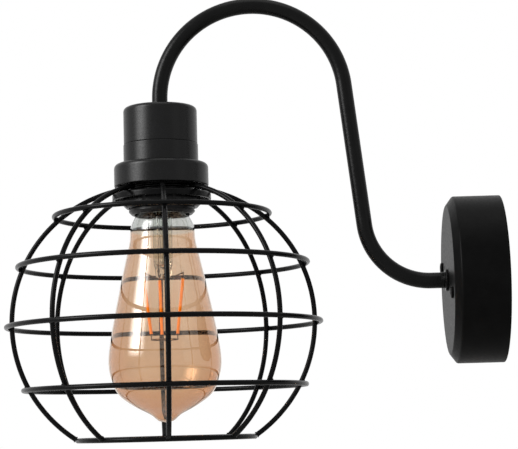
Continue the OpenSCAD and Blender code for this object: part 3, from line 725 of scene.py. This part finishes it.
@dataclass
class LampHolder:
    """The moulded cap and body with their insides, and the wide ring on the body's thread."""

    top: float = 110
    seam: float = 87
    shoulder: float = 75.3
    mouth: float = 44.237
    cap_d: float = 44.6
    cap_wall: float = 2
    cap_edge: float = 2.2
    neck_d: float = 15
    neck_bore: float = 10.1
    neck_h: float = 6
    body_d: float = 45.2
    thread_d: float = 39.8
    thread_pitch: float = 2.5
    thread_depth: float = 0.9
    socket_bore: float = 29.6
    mouth_d: float = 33.6
    mouth_depth: float = 10
    rim_edge: float = 1.8
    ring_d: float = 57
    ring_h: float = 13.8
    ring_wall: float = 2.2
    ring_edge: float = 2.4
    ring_web: float = 3
    ring_gap: float = 0.08
    boss_wall: float = 2.4

    def cap(self) -> Surface:
        """The cap: a cup with a rounded top edge and a neck inside for the tube's thread."""
        r, inner = self.cap_d / 2, self.cap_d / 2 - self.cap_wall
        return turned(
            [
                (self.seam + 0.1, inner, 0.2), (self.seam + 0.1, r, 0.35),
                (self.top, r, self.cap_edge + 0.4), (self.top, self.neck_bore / 2, 0.3),
                (self.top - self.neck_h, self.neck_bore / 2, 0.1),
                (self.top - self.neck_h, self.neck_d / 2, 0.3),
                (self.top - self.cap_wall, self.neck_d / 2, 0.3), (self.top - self.cap_wall, inner, 1),
            ][::-1]
        )

    def body(self) -> Surface:
        """The body: a plain band, a long thread for the rings, and a rounded rim."""
        band, thread = self.body_d / 2, self.thread_d / 2
        bore, mouth_r, deep = self.socket_bore / 2, self.mouth_d / 2, self.mouth + self.mouth_depth
        corners = [
            (deep, bore, 0.2), (deep, mouth_r, 0.2), (self.mouth, mouth_r, 0.4),
            (self.mouth, thread - self.rim_edge, 0.7), (self.mouth + self.rim_edge, thread, 0.8),
            (self.shoulder + 0.1, thread, 0.1), (self.shoulder + 0.1, band, 0.3), (self.seam, band, 0.35),
            (self.seam, bore, 0.2),
        ]
        profile = with_rows(rounded(corners), 0.25)
        low, high = self.mouth + self.rim_edge + 0.4, self.shoulder - 1
        thread_cut = screw_thread(self.thread_pitch, self.thread_depth, low, high, thread - 0.3)

        def relief(s: Array, r: Array, a: Array) -> Shift:
            """Cuts the thread only into the wall of its own radius."""
            cut, lift = thread_cut(s, r, a)
            return cut * (r < thread + 0.05), lift

        return carried(LAMP_AXIS, profile, sides=144, closed=True, relief=relief)

    def ring(self) -> Surface:
        """The wide ring: a skirt with a rounded shoulder, a web and a boss on the thread."""
        r, foot = self.ring_d / 2, self.shoulder - self.ring_h
        bore, web = self.thread_d / 2 + self.ring_gap, self.shoulder - self.ring_web
        return turned(
            [
                (foot, r, 0.5), (self.shoulder, r, self.ring_edge + 0.4), (self.shoulder, bore, 0.2),
                (foot, bore, 0.2), (foot, bore + self.boss_wall, 0.3), (web, bore + self.boss_wall, 0.4),
                (web, r - self.ring_wall, 0.6), (foot, r - self.ring_wall, 0.3),
            ]
        )

    def build(self) -> None:
        """Makes the holder's mouldings and finishes its insides."""
        moulded = ("arm", Finish.HOLDER, "holder")
        place_piece("holder_cap_moulding", self.cap(), *moulded, "holder_cap")
        place_piece("holder_body_moulding", self.body(), *moulded, "holder_body")
        place_piece("wide_shade_ring", self.ring(), *moulded, "top_ring")
        finish_nodes(Finish.CERAMIC, "holder_core")
        finish_nodes(Finish.BRASS, "screw_shell", "centre_contact", "holder_terminals")


# ---- cage


@dataclass
class Cage:
    """The welded wire cage: a pressed collar, five hoops, eight ribs, and its clamp ring."""

    wire_d: float = 3
    belly_r: float = 90.7
    belly_z: float = -19.828
    upper_bend: float = 81
    rib_inner_r: float = 24
    rib_phase: float = 5.4
    rib_count: int = 8
    far_rib_spread: float = 1.9
    collar_z: float = 57.037
    collar_d: float = 59.6
    collar_bore: float = 40.6
    collar_h: float = 4
    collar_t: float = 1.5
    hoop_depths: tuple[float, ...] = (13.3, 43.4, 79.1, 116.6, 146.8)
    foot_d: float = 105.2
    weld: float = 0.05
    bead: Span = (0.7, 1.95)
    clamp_top: float = 55.437
    clamp_d: float = 47
    clamp_h: float = 7
    clamp_bevel: float = 2
    clamp_bore: float = 39.96
    notches: int = 8
    notch_r: float = 1.2
    notch_out: float = 0.4
    lower_bend: float = field(init=False)
    lower_turn: float = field(init=False)

    def __post_init__(self) -> None:
        """Works out the lower bend: one arc from the widest place to the bottom hoop."""
        drop = self.hoop_depths[-1] - (self.collar_z - self.belly_z)
        inwards = self.belly_r - self.foot_d / 2
        self.lower_bend = (drop**2 + inwards**2) / (2 * inwards)
        self.lower_turn = 2 * math.degrees(math.atan(inwards / drop))

    def hoop_place(self, number: int) -> Span:
        """Radius and height of a hoop's centre line, outside the ribs except the last."""
        z = self.collar_z - self.hoop_depths[number - 1]
        if number == len(self.hoop_depths):
            return self.foot_d / 2, z
        bend = self.upper_bend if z > self.belly_z else self.lower_bend
        out = bend + self.wire_d + self.weld
        return self.belly_r - bend + math.sqrt(out**2 - (z - self.belly_z) ** 2), z

    def rib_angle(self, number: int) -> float:
        """Direction of a rib round the lamp's axis, in radians from +X."""
        spread = {4: -self.far_rib_spread, 6: self.far_rib_spread}.get(number, 0)
        return math.radians(self.rib_phase + spread) + (number - 1) * TURN / self.rib_count

    def rib(self, number: int) -> Surface:
        """One rib: two arcs in a plane through the axis, from under the ring to the last hoop."""
        a = self.rib_angle(number)
        centre_r = self.belly_r - self.upper_bend
        begin = math.degrees(math.acos((self.rib_inner_r - centre_r) / self.upper_bend))
        end = self.lower_turn - math.degrees(math.asin((self.wire_d / 2 + self.weld) / self.lower_bend))
        z = self.belly_z + self.upper_bend * math.sin(math.radians(begin))
        upper = (self.upper_bend * math.radians(begin), -begin)
        lower = (self.lower_bend * math.radians(end), -end)
        way = (math.cos(a), math.sin(a), 0)
        start = (self.rib_inner_r, z)
        line = CentreLine((0, -REACH, 0), way, Z_AXIS, start, begin - 90, (upper, lower))
        return carried(line, rounded_rod(self.wire_d / 2, line.length, 0.4, rows=96), sides=24)

    def hoop(self, number: int) -> Surface:
        """One hoop, with the low bead of its butt weld on the wall side."""
        r, z = self.hoop_place(number)
        line = CentreLine((0, -REACH, z), X_AXIS, Y_AXIS, (0, r), 180, ((TURN * r, 360),))
        rows = np.linspace(0, line.length, 360, endpoint=False)
        from_joint = np.minimum(rows, line.length - rows)
        wire = self.wire_d / 2 + 0.12 * np.exp(-((from_joint / 1.6) ** 2))
        return carried(line, pairs(rows, wire), sides=24, closed=True)

    def nuggets(self, number: int) -> Surface:
        """The resistance welds of one hoop: a flat bead squeezed out where each rib crosses.

        A bead is an ellipsoid, its short axis from wire to wire: centre + p cos b across the
        contact and q sin b (cos c, sin c) in its plane.
        """
        r, z = self.hoop_place(number)
        last = number == len(self.hoop_depths)
        bend = self.upper_bend if z > self.belly_z else self.lower_bend
        lean = math.asin((z - self.belly_z) / (bend if last else bend + self.wire_d + self.weld))
        out = np.exp(1j * lean)
        up = 1j * out
        if last:
            short, long, middle = up, out, complex(r, z) + self.wire_d / 2 * up
        else:
            short, long, middle = out, up, complex(r, z) - (self.wire_d + self.weld) / 2 * out
        flat, wide = self.bead
        b = np.linspace(0, math.pi, 7)[:: 1 if last else -1, None]
        c = np.arange(12)[None, :] * TURN / 12
        section = middle + flat * np.cos(b) * short + wide * np.sin(b) * np.cos(c) * long
        poles = np.abs(np.cos(b[:, 0])) > 0.99
        beads = []
        for rib in range(1, self.rib_count + 1):
            plan = (section.real + 1j * wide * np.sin(b) * np.sin(c)) * np.exp(1j * self.rib_angle(rib))
            points = np.stack([plan.real, plan.imag - REACH, section.imag], axis=-1)
            beads.append(Surface.from_grid(points, False, poles))
        return Surface.joined(beads)

    def collar(self) -> Surface:
        """The pressed collar: a web round the thread and a lip turned down at its edge."""
        r, z, t = self.collar_d / 2, self.collar_z, self.collar_t
        return turned(
            [
                (z, r, 1.2), (z, self.collar_bore / 2, 0.2), (z - t, self.collar_bore / 2, 0.2),
                (z - t, r - t, 0.5), (z - self.collar_h, r - t, 0.3), (z - self.collar_h, r, 0.4),
            ]
        )

    def clamp_ring(self) -> Surface:
        """The lower ring: bevelled at its foot, with a finger notch between each two lands.

        A notch is part of a round cut whose centre stands a little outside the wall.
        """
        r, foot, bore = self.clamp_d / 2, self.clamp_top - self.clamp_h, self.clamp_bore / 2
        corners = [
            (self.clamp_top, r, 0.5), (self.clamp_top, bore, 0.2), (foot, bore, 0.2),
            (foot, r - self.clamp_bevel, 0.5), (foot + self.clamp_bevel, r, 0.5),
        ]

        def relief(s: Array, radius: Array, a: Array) -> Shift:
            """Sinks the outer wall into the round cuts, below a land at the ring's top."""
            pitch = TURN / self.notches
            off = (a / pitch % 1 - 0.5) * pitch * r
            cut = np.sqrt(np.clip(self.notch_r**2 - off**2, 0, None)) - self.notch_out
            run = np.clip((self.clamp_top - 1.2 - s) / 0.5, 0, 1)
            return -np.clip(cut, 0, None) * run * (radius > r - 2.3), 0.0

        profile = with_rows(rounded(corners), 0.4)
        return carried(LAMP_AXIS, profile, sides=384, closed=True, relief=relief)

    def build(self) -> None:
        """Makes the cage wire by wire, with its welds, collar and clamp ring."""
        wire = ("cage", Finish.WIRE, "cage")
        for number in range(1, len(self.hoop_depths) + 1):
            place_piece(f"cage_hoop_{number}", self.hoop(number), *wire, f"hoop_{number}")
            place_piece(f"weld_beads_{number}", self.nuggets(number), *wire)
        for number in range(1, self.rib_count + 1):
            place_piece(f"cage_rib_{number}", self.rib(number), *wire, f"rib_{number}")
        place_piece("cage_pressed_collar", self.collar(), *wire, "cage_collar")
        ring = self.clamp_ring()
        place_piece("clamping_shade_ring", ring, "clamp_ring", Finish.HOLDER, "holder", "clamp_ring")


# ---- bulb


@dataclass
class Bulb:
    """The pear-shaped filament bulb: glass, stem, sticks of light, wires and screw cap."""

    mouth: float = 44.237
    length: float = 124.5
    neck_r: float = 15.7
    belly_r: float = 33.8
    wall: float = 0.8
    top: float = 75
    cap_r: float = 13.2
    cap_length: float = 26.5
    seat_gap: float = 1.6
    thread_pitch: float = 3.6
    thread_depth: float = 0.9
    stem_r: float = 6
    stem_foot: float = 5.737
    press_length: float = 7
    flare_length: float = 7
    stick_top_r: float = 12.1
    stick_foot_r: float = 8
    stick_length: float = 34.5
    stick_d: float = 1.8
    stick_turn: float = 15
    stick_count: int = 4
    wire_d: float = 0.7

    @property
    def skirt(self) -> float:
        """Height of the cap's lower edge."""
        return self.top - self.cap_length

    @property
    def stick_top(self) -> float:
        """Height of the sticks' upper ends."""
        return self.stem_foot + 0.5

    @property
    def stick_foot(self) -> float:
        """Height of the sticks' lower ends."""
        inwards = self.stick_top_r - self.stick_foot_r
        return self.stick_top - math.sqrt(self.stick_length**2 - inwards**2)

    def glass(self) -> Surface:
        """The blown envelope: a smooth curve through its outline's points and the same curve
        one wall further in, turned round the axis."""
        widths = [(0.18, 0.055), (0.23, 0.13), (0.34, 0.2), (0.56, 0.34), (0.88, 0.57)]
        ends = [(1, 0.71), (0.93, 0.81), (0.8, 0.872), (0.53, 0.925), (0.27, 0.962), (0.13, 0.992)]
        seat, room = self.cap_r - self.seat_gap, self.belly_r - self.neck_r
        outline = [(seat, self.skirt + 3), (seat + 0.1, self.skirt + 0.6), (self.neck_r, self.mouth)]
        outline += [(self.neck_r + room * w, self.mouth - self.length * d) for w, d in widths]
        outline += [(self.belly_r * w, self.mouth - self.length * d) for w, d in ends]
        outline += [(0, self.mouth - self.length)]
        curve = smooth_curve(outline, 12)
        run = np.gradient(curve, axis=0)
        run[-1] = (-1, 0)
        across = np.stack([run[:, 1], -run[:, 0]], axis=1) / np.linalg.norm(run, axis=1)[:, None]
        inner = curve + self.wall * across
        inner[:, 0] = np.clip(inner[:, 0], 0, None)
        inner = inner[:-1][inner[:-1, 1] > inner[-1, 1] + 0.02]
        tip = [[0, self.mouth - self.length + self.wall + 0.4]]
        profile = np.vstack([curve[::-1], inner, tip])[:, ::-1]
        profile[np.abs(profile[:, 1]) < 1e-6, 1] = 0
        return carried(LAMP_AXIS, profile, sides=192)

    def stem(self) -> Surface:
        """The stem: a tube that flares to the neck's seal and is pinched flat at its foot, with
        the thin tube inside through which the bulb was emptied."""
        flare_r = self.cap_r - self.seat_gap - self.wall - 0.3
        flare = self.skirt + 2
        r, foot, press = self.stem_r, self.stem_foot, self.stem_foot + self.press_length
        outer = [
            (0, foot), (r - 3.4, foot + 0.1), (r - 2.5, foot + 0.9), (r - 2.2, foot + 3),
            (r - 1.8, press - 1), (r - 0.4, press + 3), (r, press + 7),
            (r, flare - self.flare_length), (r + 0.2, flare - 4.6), (r + 1.4, flare - 2.8),
            (flare_r - 0.6, flare - 0.9), (flare_r, flare),
        ]
        inner = [
            (flare_r - 1, flare), (flare_r - 1.8, flare - 1.2), (r + 0.3, flare - 3.2),
            (r - 0.7, flare - 5), (r - 0.8, flare - self.flare_length), (r - 0.8, press + 7),
            (r - 1.4, press + 3), (r - 3, press + 1), (0, press + 0.6),
        ]
        profile = np.vstack([smooth_curve(outer, 6), smooth_curve(inner, 6)])[:, ::-1]
        profile[:, 1] = np.clip(profile[:, 1], 0, None)

        def relief(s: Array, radius: Array, a: Array) -> Shift:
            """The pinch squeezes the foot to half along X, and widens it by a quarter along Y."""
            pinch = np.clip((press + 4 - s) / 6, 0, 1)
            squeeze = 1 - 0.5 * pinch * np.cos(a) ** 2
            wide = 1 + 0.26 * pinch * np.sin(a) ** 2
            return radius * (squeeze * wide - 1), 0.0

        low, high = press + 1.5, flare - 1
        bore = [(high, 1.2, 0.1), (high, 1.9, 0.2), (low, 1.9, 0.2), (low, 1.2, 0.1)]
        tube = turned(bore, sides=32)
        return Surface.joined([carried(LAMP_AXIS, profile, sides=64, relief=relief), tube])

    def stick_dir(self, number: int) -> Array:
        """Unit direction of a stick round the lamp's axis."""
        a = math.radians(self.stick_turn) + (number - 1) * TURN / self.stick_count
        return np.array([math.cos(a), math.sin(a)])

    def at(self, number: int, r: float, z: float) -> Array:
        """The point at radius r and height z in a stick's direction."""
        x, y = r * self.stick_dir(number)
        return np.array([x, y - REACH, z])

    def between(self, start: Array, end: Array, aside: Vec3) -> tuple[CentreLine, float]:
        """The straight line between two points and its length. aside is not along it."""
        length = float(np.linalg.norm(end - start))
        u = (end - start) / length
        v = np.cross(u, aside)
        return CentreLine(tuple(start), tuple(u), tuple(v / np.linalg.norm(v))), length

    def rod(self, start: Array, end: Array, diameter: float, edge: float) -> Surface:
        """A straight round rod between two points."""
        line, length = self.between(start, end, (0.36, 0.48, 0.8))
        return carried(line, rounded_rod(diameter / 2, length, edge, rows=12), sides=16)

    def stick(self, number: int) -> Surface:
        """One stick: a coated rod with a slight swelling over each chip."""
        top = self.at(number, self.stick_top_r, self.stick_top)
        foot = self.at(number, self.stick_foot_r, self.stick_foot)
        line, length = self.between(top, foot, Z_AXIS)
        profile = rounded_rod(self.stick_d / 2, length, 0.5, rows=90)

        def relief(s: Array, r: Array, a: Array) -> Shift:
            """Swells by 0.05 mm every 1.3 mm."""
            return 0.05 * np.cos(TURN * s / 1.3) * (r > 0.6), 0.0

        return carried(line, profile, sides=20, relief=relief)

    def leads(self) -> Surface:
        """The wires: two down the stem into the pinch, and four that run out of it and a little
        up, then down to their sticks, each with a welded knot in the pinch."""
        rods = []
        for side in (-1, 1):
            low = np.array([0, side * 2.7 - REACH, self.stem_foot + 1.2])
            high = np.array([0, side * 2.9 - REACH, self.skirt + 4])
            rods.append(self.rod(low, high, 0.6, 0.15))
            rods.append(self.rod(low + (0, 0, 2.6), low + (0, 0, 4.4), 1.3, 0.4))
        for number in range(1, self.stick_count + 1):
            root = self.at(number, self.stem_r - 3.3, self.stem_foot - 0.45)
            knot = self.at(number, 1.7, self.stem_foot + 1)
            rods.append(self.rod(knot + (0, 0, 1.6), root, 0.8, 0.3))
            knee = self.at(number, self.stick_top_r, self.stick_top + 3)
            tip = self.at(number, self.stick_top_r, self.stick_top + 0.1)
            rods.append(self.rod(root, knee, self.wire_d, 0.2))
            rods.append(self.rod(knee + (0, 0, 0.5), tip, self.wire_d + 0.2, 0.3))
            rods.append(self.rod(tip + (0, 0, 0.5), tip - (0, 0, 0.9), 2.0, 0.4))
        return Surface.joined(rods)

    def foot(self) -> Surface:
        """The ring of wire that joins the sticks' feet, with a post under each."""
        z, r = self.stick_foot - 3, self.stick_foot_r
        line = CentreLine((0, -REACH, z), X_AXIS, Y_AXIS, (0, -r), 0, ((TURN * r, 360),))
        rows = np.linspace(0, line.length, 72, endpoint=False)
        pieces = [carried(line, pairs(rows, self.wire_d / 2), sides=12, closed=True)]
        for number in range(1, self.stick_count + 1):
            low = self.at(number, r, z)
            high = self.at(number, r, self.stick_foot - 0.1)
            pieces.append(self.rod(low, high, self.wire_d * 0.8, 0.15))
            pieces.append(self.rod(high - (0, 0, 0.5), high + (0, 0, 0.7), 1.95, 0.4))
        return Surface.joined(pieces)

    def cap(self) -> Surface:
        """The drawn cap: a rolled helical thread in thin sheet over a plain skirt."""
        r, sheet, depth = self.cap_r, 0.4, self.thread_depth
        insulator = self.top - 5
        high = insulator - 1.5
        low = high - self.thread_pitch * 5
        wall = with_rows(pairs(np.array([low, high]), r), 0.3)
        skirt = [[self.skirt, r - 0.7], [self.skirt, r - 0.3], [low - 0.2, r - 0.3]]
        lip = [[insulator, r - 4], [insulator - sheet, r - 4], [high + 0.2, r - depth - 0.8]]
        top = [[high + 0.6, r - depth - 0.4], *lip]
        profile = np.vstack([skirt, wall, top, wall[::-1] - (0, sheet), [[low - 0.2, r - 0.7]]])

        def relief(s: Array, radius: Array, a: Array) -> Shift:
            """Both walls follow the helix, because the thread is rolled."""
            on = (s > low - 0.05) & (s < high + 0.05)
            wave = (1 + np.cos(TURN * s / self.thread_pitch - a)) / 2
            return -depth * wave * on, 0.0

        return carried(LAMP_AXIS, profile, sides=128, closed=True, relief=relief)

    def build(self) -> None:
        """Makes the bulb's pieces and finishes those inside its cap."""
        glass, stem = self.glass(), self.stem()
        place_piece("bulb_envelope", glass, "bulb", Finish.AMBER_GLASS, "amber_glass", "bulb_glass")
        place_piece("bulb_stem_glass", stem, "bulb", Finish.CLEAR_GLASS, "clear_glass", "bulb_stem")
        coated = ("bulb", Finish.PHOSPHOR, "filament")
        for number in range(1, self.stick_count + 1):
            place_piece(f"light_stick_{number}", self.stick(number), *coated, f"filament_{number}")
        wire = ("bulb", Finish.LEAD, "lead_wire")
        place_piece("stick_leads", self.leads(), *wire, "filament_leads")
        place_piece("stick_foot_frame", self.foot(), *wire, "filament_foot")
        place_piece("bulb_screw_cap", self.cap(), "bulb", Finish.NICKEL, "bulb_cap", "bulb_cap")
        finish_nodes(Finish.VITRITE, "bulb_insulator")
        finish_nodes(Finish.SOLDER, "bulb_contact")
        finish_nodes(Finish.BOARD, "bulb_driver")


# ---- stage


@dataclass
class Studio:
    """The camera at the photograph's angle, soft lamps, a pale floor and a white background."""

    camera_at: Vec3 = (1052.06, -126.9, -84.6)
    yaw: float = -0.94
    pitch: float = 6.58
    roll: float = -1.54
    focal_px: float = 1757
    width_px: float = 518
    sensor_mm: float = 36
    clip_m: Span = (0.01, 50)
    floor_z: float = -250
    floor_r: float = 2000
    fade_r: Span = (350, 1500)
    ambient: float = 0.35

    def stand(self, data: bpy.types.ID, axes: tuple[Array, Array, Array], at: Vec3) -> bpy.types.Object:
        """An object in the scene from its data, its local axes and its place."""
        matrix = np.eye(4)
        matrix[:3] = np.stack([*axes, np.array(at, float) * MM], axis=1)
        placed = bpy.data.objects.new(data.name, data)
        placed.matrix_world = Matrix(matrix.tolist())
        bpy.context.scene.collection.objects.link(placed)
        return placed

    def camera(self) -> None:
        """Places the camera from its yaw off -X, its pitch up and its roll."""
        yaw, pitch, roll = (math.radians(a) for a in (self.yaw, self.pitch, self.roll))
        level = math.cos(pitch)
        ahead = np.array([-math.cos(yaw) * level, math.sin(yaw) * level, math.sin(pitch)])
        right = np.array([math.sin(yaw), math.cos(yaw), 0])
        up = np.cross(right, ahead)
        across = math.cos(roll) * right + math.sin(roll) * up
        above = -math.sin(roll) * right + math.cos(roll) * up
        data = bpy.data.cameras.new("camera")
        data.sensor_width = self.sensor_mm
        data.lens = self.focal_px / self.width_px * data.sensor_width
        data.clip_start, data.clip_end = self.clip_m
        bpy.context.scene.camera = self.stand(data, (across, above, -ahead), self.camera_at)

    def lamp(
        self, name: str, at: Vec3, target: Vec3, size: Span, radiance: float, feather: Span | None = None
    ) -> None:
        """A rectangular soft lamp: its power is pi times area times radiance.

        Args:
            name: the lamp's name.
            at: its middle.
            target: the point it faces.
            size: its width and height.
            radiance: brightness of its face.
            feather: shares of the half width and half height over which its cloth fades out.
        """
        data = bpy.data.lights.new(name, "AREA")
        data.shape = "RECTANGLE"
        data.size, data.size_y = size[0] * MM, size[1] * MM
        data.energy = math.pi * data.size * data.size_y * radiance
        if feather:
            self.cloth(data, feather)
        away = (np.array(at, float) - target) * MM
        away = away / np.linalg.norm(away)
        side = np.cross(Z_AXIS, away) if abs(away[2]) < 0.99 else np.array(Y_AXIS, float)
        side = side / np.linalg.norm(side)
        self.stand(data, (side, np.cross(away, side), away), at)

    def cloth(self, data: bpy.types.AreaLight, feather: Span) -> None:
        """Lets a lamp's face fade out towards its sides and ends, as a soft box does."""
        nodes = Shading(data)
        face = nodes.add("NewGeometry").outputs["Parametric"]
        apart = nodes.add("SeparateXYZ", {"Vector": face}).outputs
        shares = []
        for way, part in zip("XY", feather):
            far = nodes.math("ABSOLUTE", nodes.math("SUBTRACT", apart[way], 0.5))
            shares.append(nodes.mapped(far, (0.5 - part / 2, 0.5), (1.0, 0.0), smooth=True))
        glow = nodes.add("Emission", {"Strength": nodes.math("MULTIPLY", *shares)})
        nodes.end(glow.outputs[0], "Light")

    def floor(self) -> None:
        """A wide round floor of pale matt paper, drawn only from above.

        Between its two fading radii it gives way to the white background.
        """
        line = CentreLine((0, -REACH / 2, 0), Z_AXIS, X_AXIS)
        rows = self.floor_r * np.array([1, 0.5, 0.2, 0.08, 0.03, 0])
        floor = carried(line, pairs(self.floor_z, rows), sides=96).object("floor")
        paper = bpy.data.materials.new("pale_paper_floor")
        nodes = Shading(paper)
        look = {"Base Color": linear("#F1F0EE"), "Roughness": 0.9, "Specular IOR Level": 0.1}
        sheet = nodes.add("BsdfPrincipled", look).outputs[0]
        clear = nodes.add("BsdfTransparent").outputs[0]
        behind = nodes.add("NewGeometry").outputs["Backfacing"]
        level = nodes.add("Mapping", {"Vector": nodes.place(), "Scale": (1, 1, 0)}).outputs[0]
        far = nodes.add("VectorMath", {0: level}, operation="LENGTH").outputs["Value"]
        faded = nodes.mapped(far, (self.fade_r[0] * MM, self.fade_r[1] * MM), smooth=True)
        nodes.end(nodes.either(nodes.math("MAXIMUM", behind, faded), sheet, clear))
        floor.data.materials.append(paper)

    def world(self) -> None:
        """White to the camera, in gloss and through glass, and an even dimmer light otherwise."""
        world = bpy.data.worlds.new("studio")
        bpy.context.scene.world = world
        nodes = Shading(world)
        path = nodes.add("LightPath").outputs
        seen = nodes.math("MAXIMUM", path["Is Camera Ray"], path["Is Glossy Ray"])
        shown = nodes.math("MAXIMUM", seen, path["Is Transmission Ray"])
        light, white = (
            nodes.add("Background", {"Color": linear("#FFFFFF"), "Strength": strength}).outputs[0]
            for strength in (self.ambient, 1.0)
        )
        nodes.end(nodes.either(shown, light, white), "World")

    def build(self) -> None:
        """Sets up the whole studio."""
        lamp_middle = (0.0, -REACH, 0.0)
        self.camera()
        self.lamp("window", (600, -1210, 560), lamp_middle, (1100, 1080), 16.5, (0.95, 0.6))
        self.lamp("overhead", (300, -100, 1500), (0, -100, 0), (900, 900), 1.5)
        self.lamp("fill", (900, 1000, 300), (0, -80, 0), (600, 900), 0.3)
        self.floor()
        self.world()
        bpy.context.scene.view_settings.view_transform = "Standard"


def corners(box: tuple) -> list[list[float]]:
    """Both corners of a box as plain lists."""
    return [list(corner) for corner in box]


def main() -> None:
    """Builds the studio and every sub-assembly."""
    logging.basicConfig(level=logging.INFO, format="%(name)s %(message)s")
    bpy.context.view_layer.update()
    for part in (Studio(), Canopy(), Arm(), LampHolder(), Cage(), Bulb()):
        part.build()


if __name__ == "__main__":
    main()
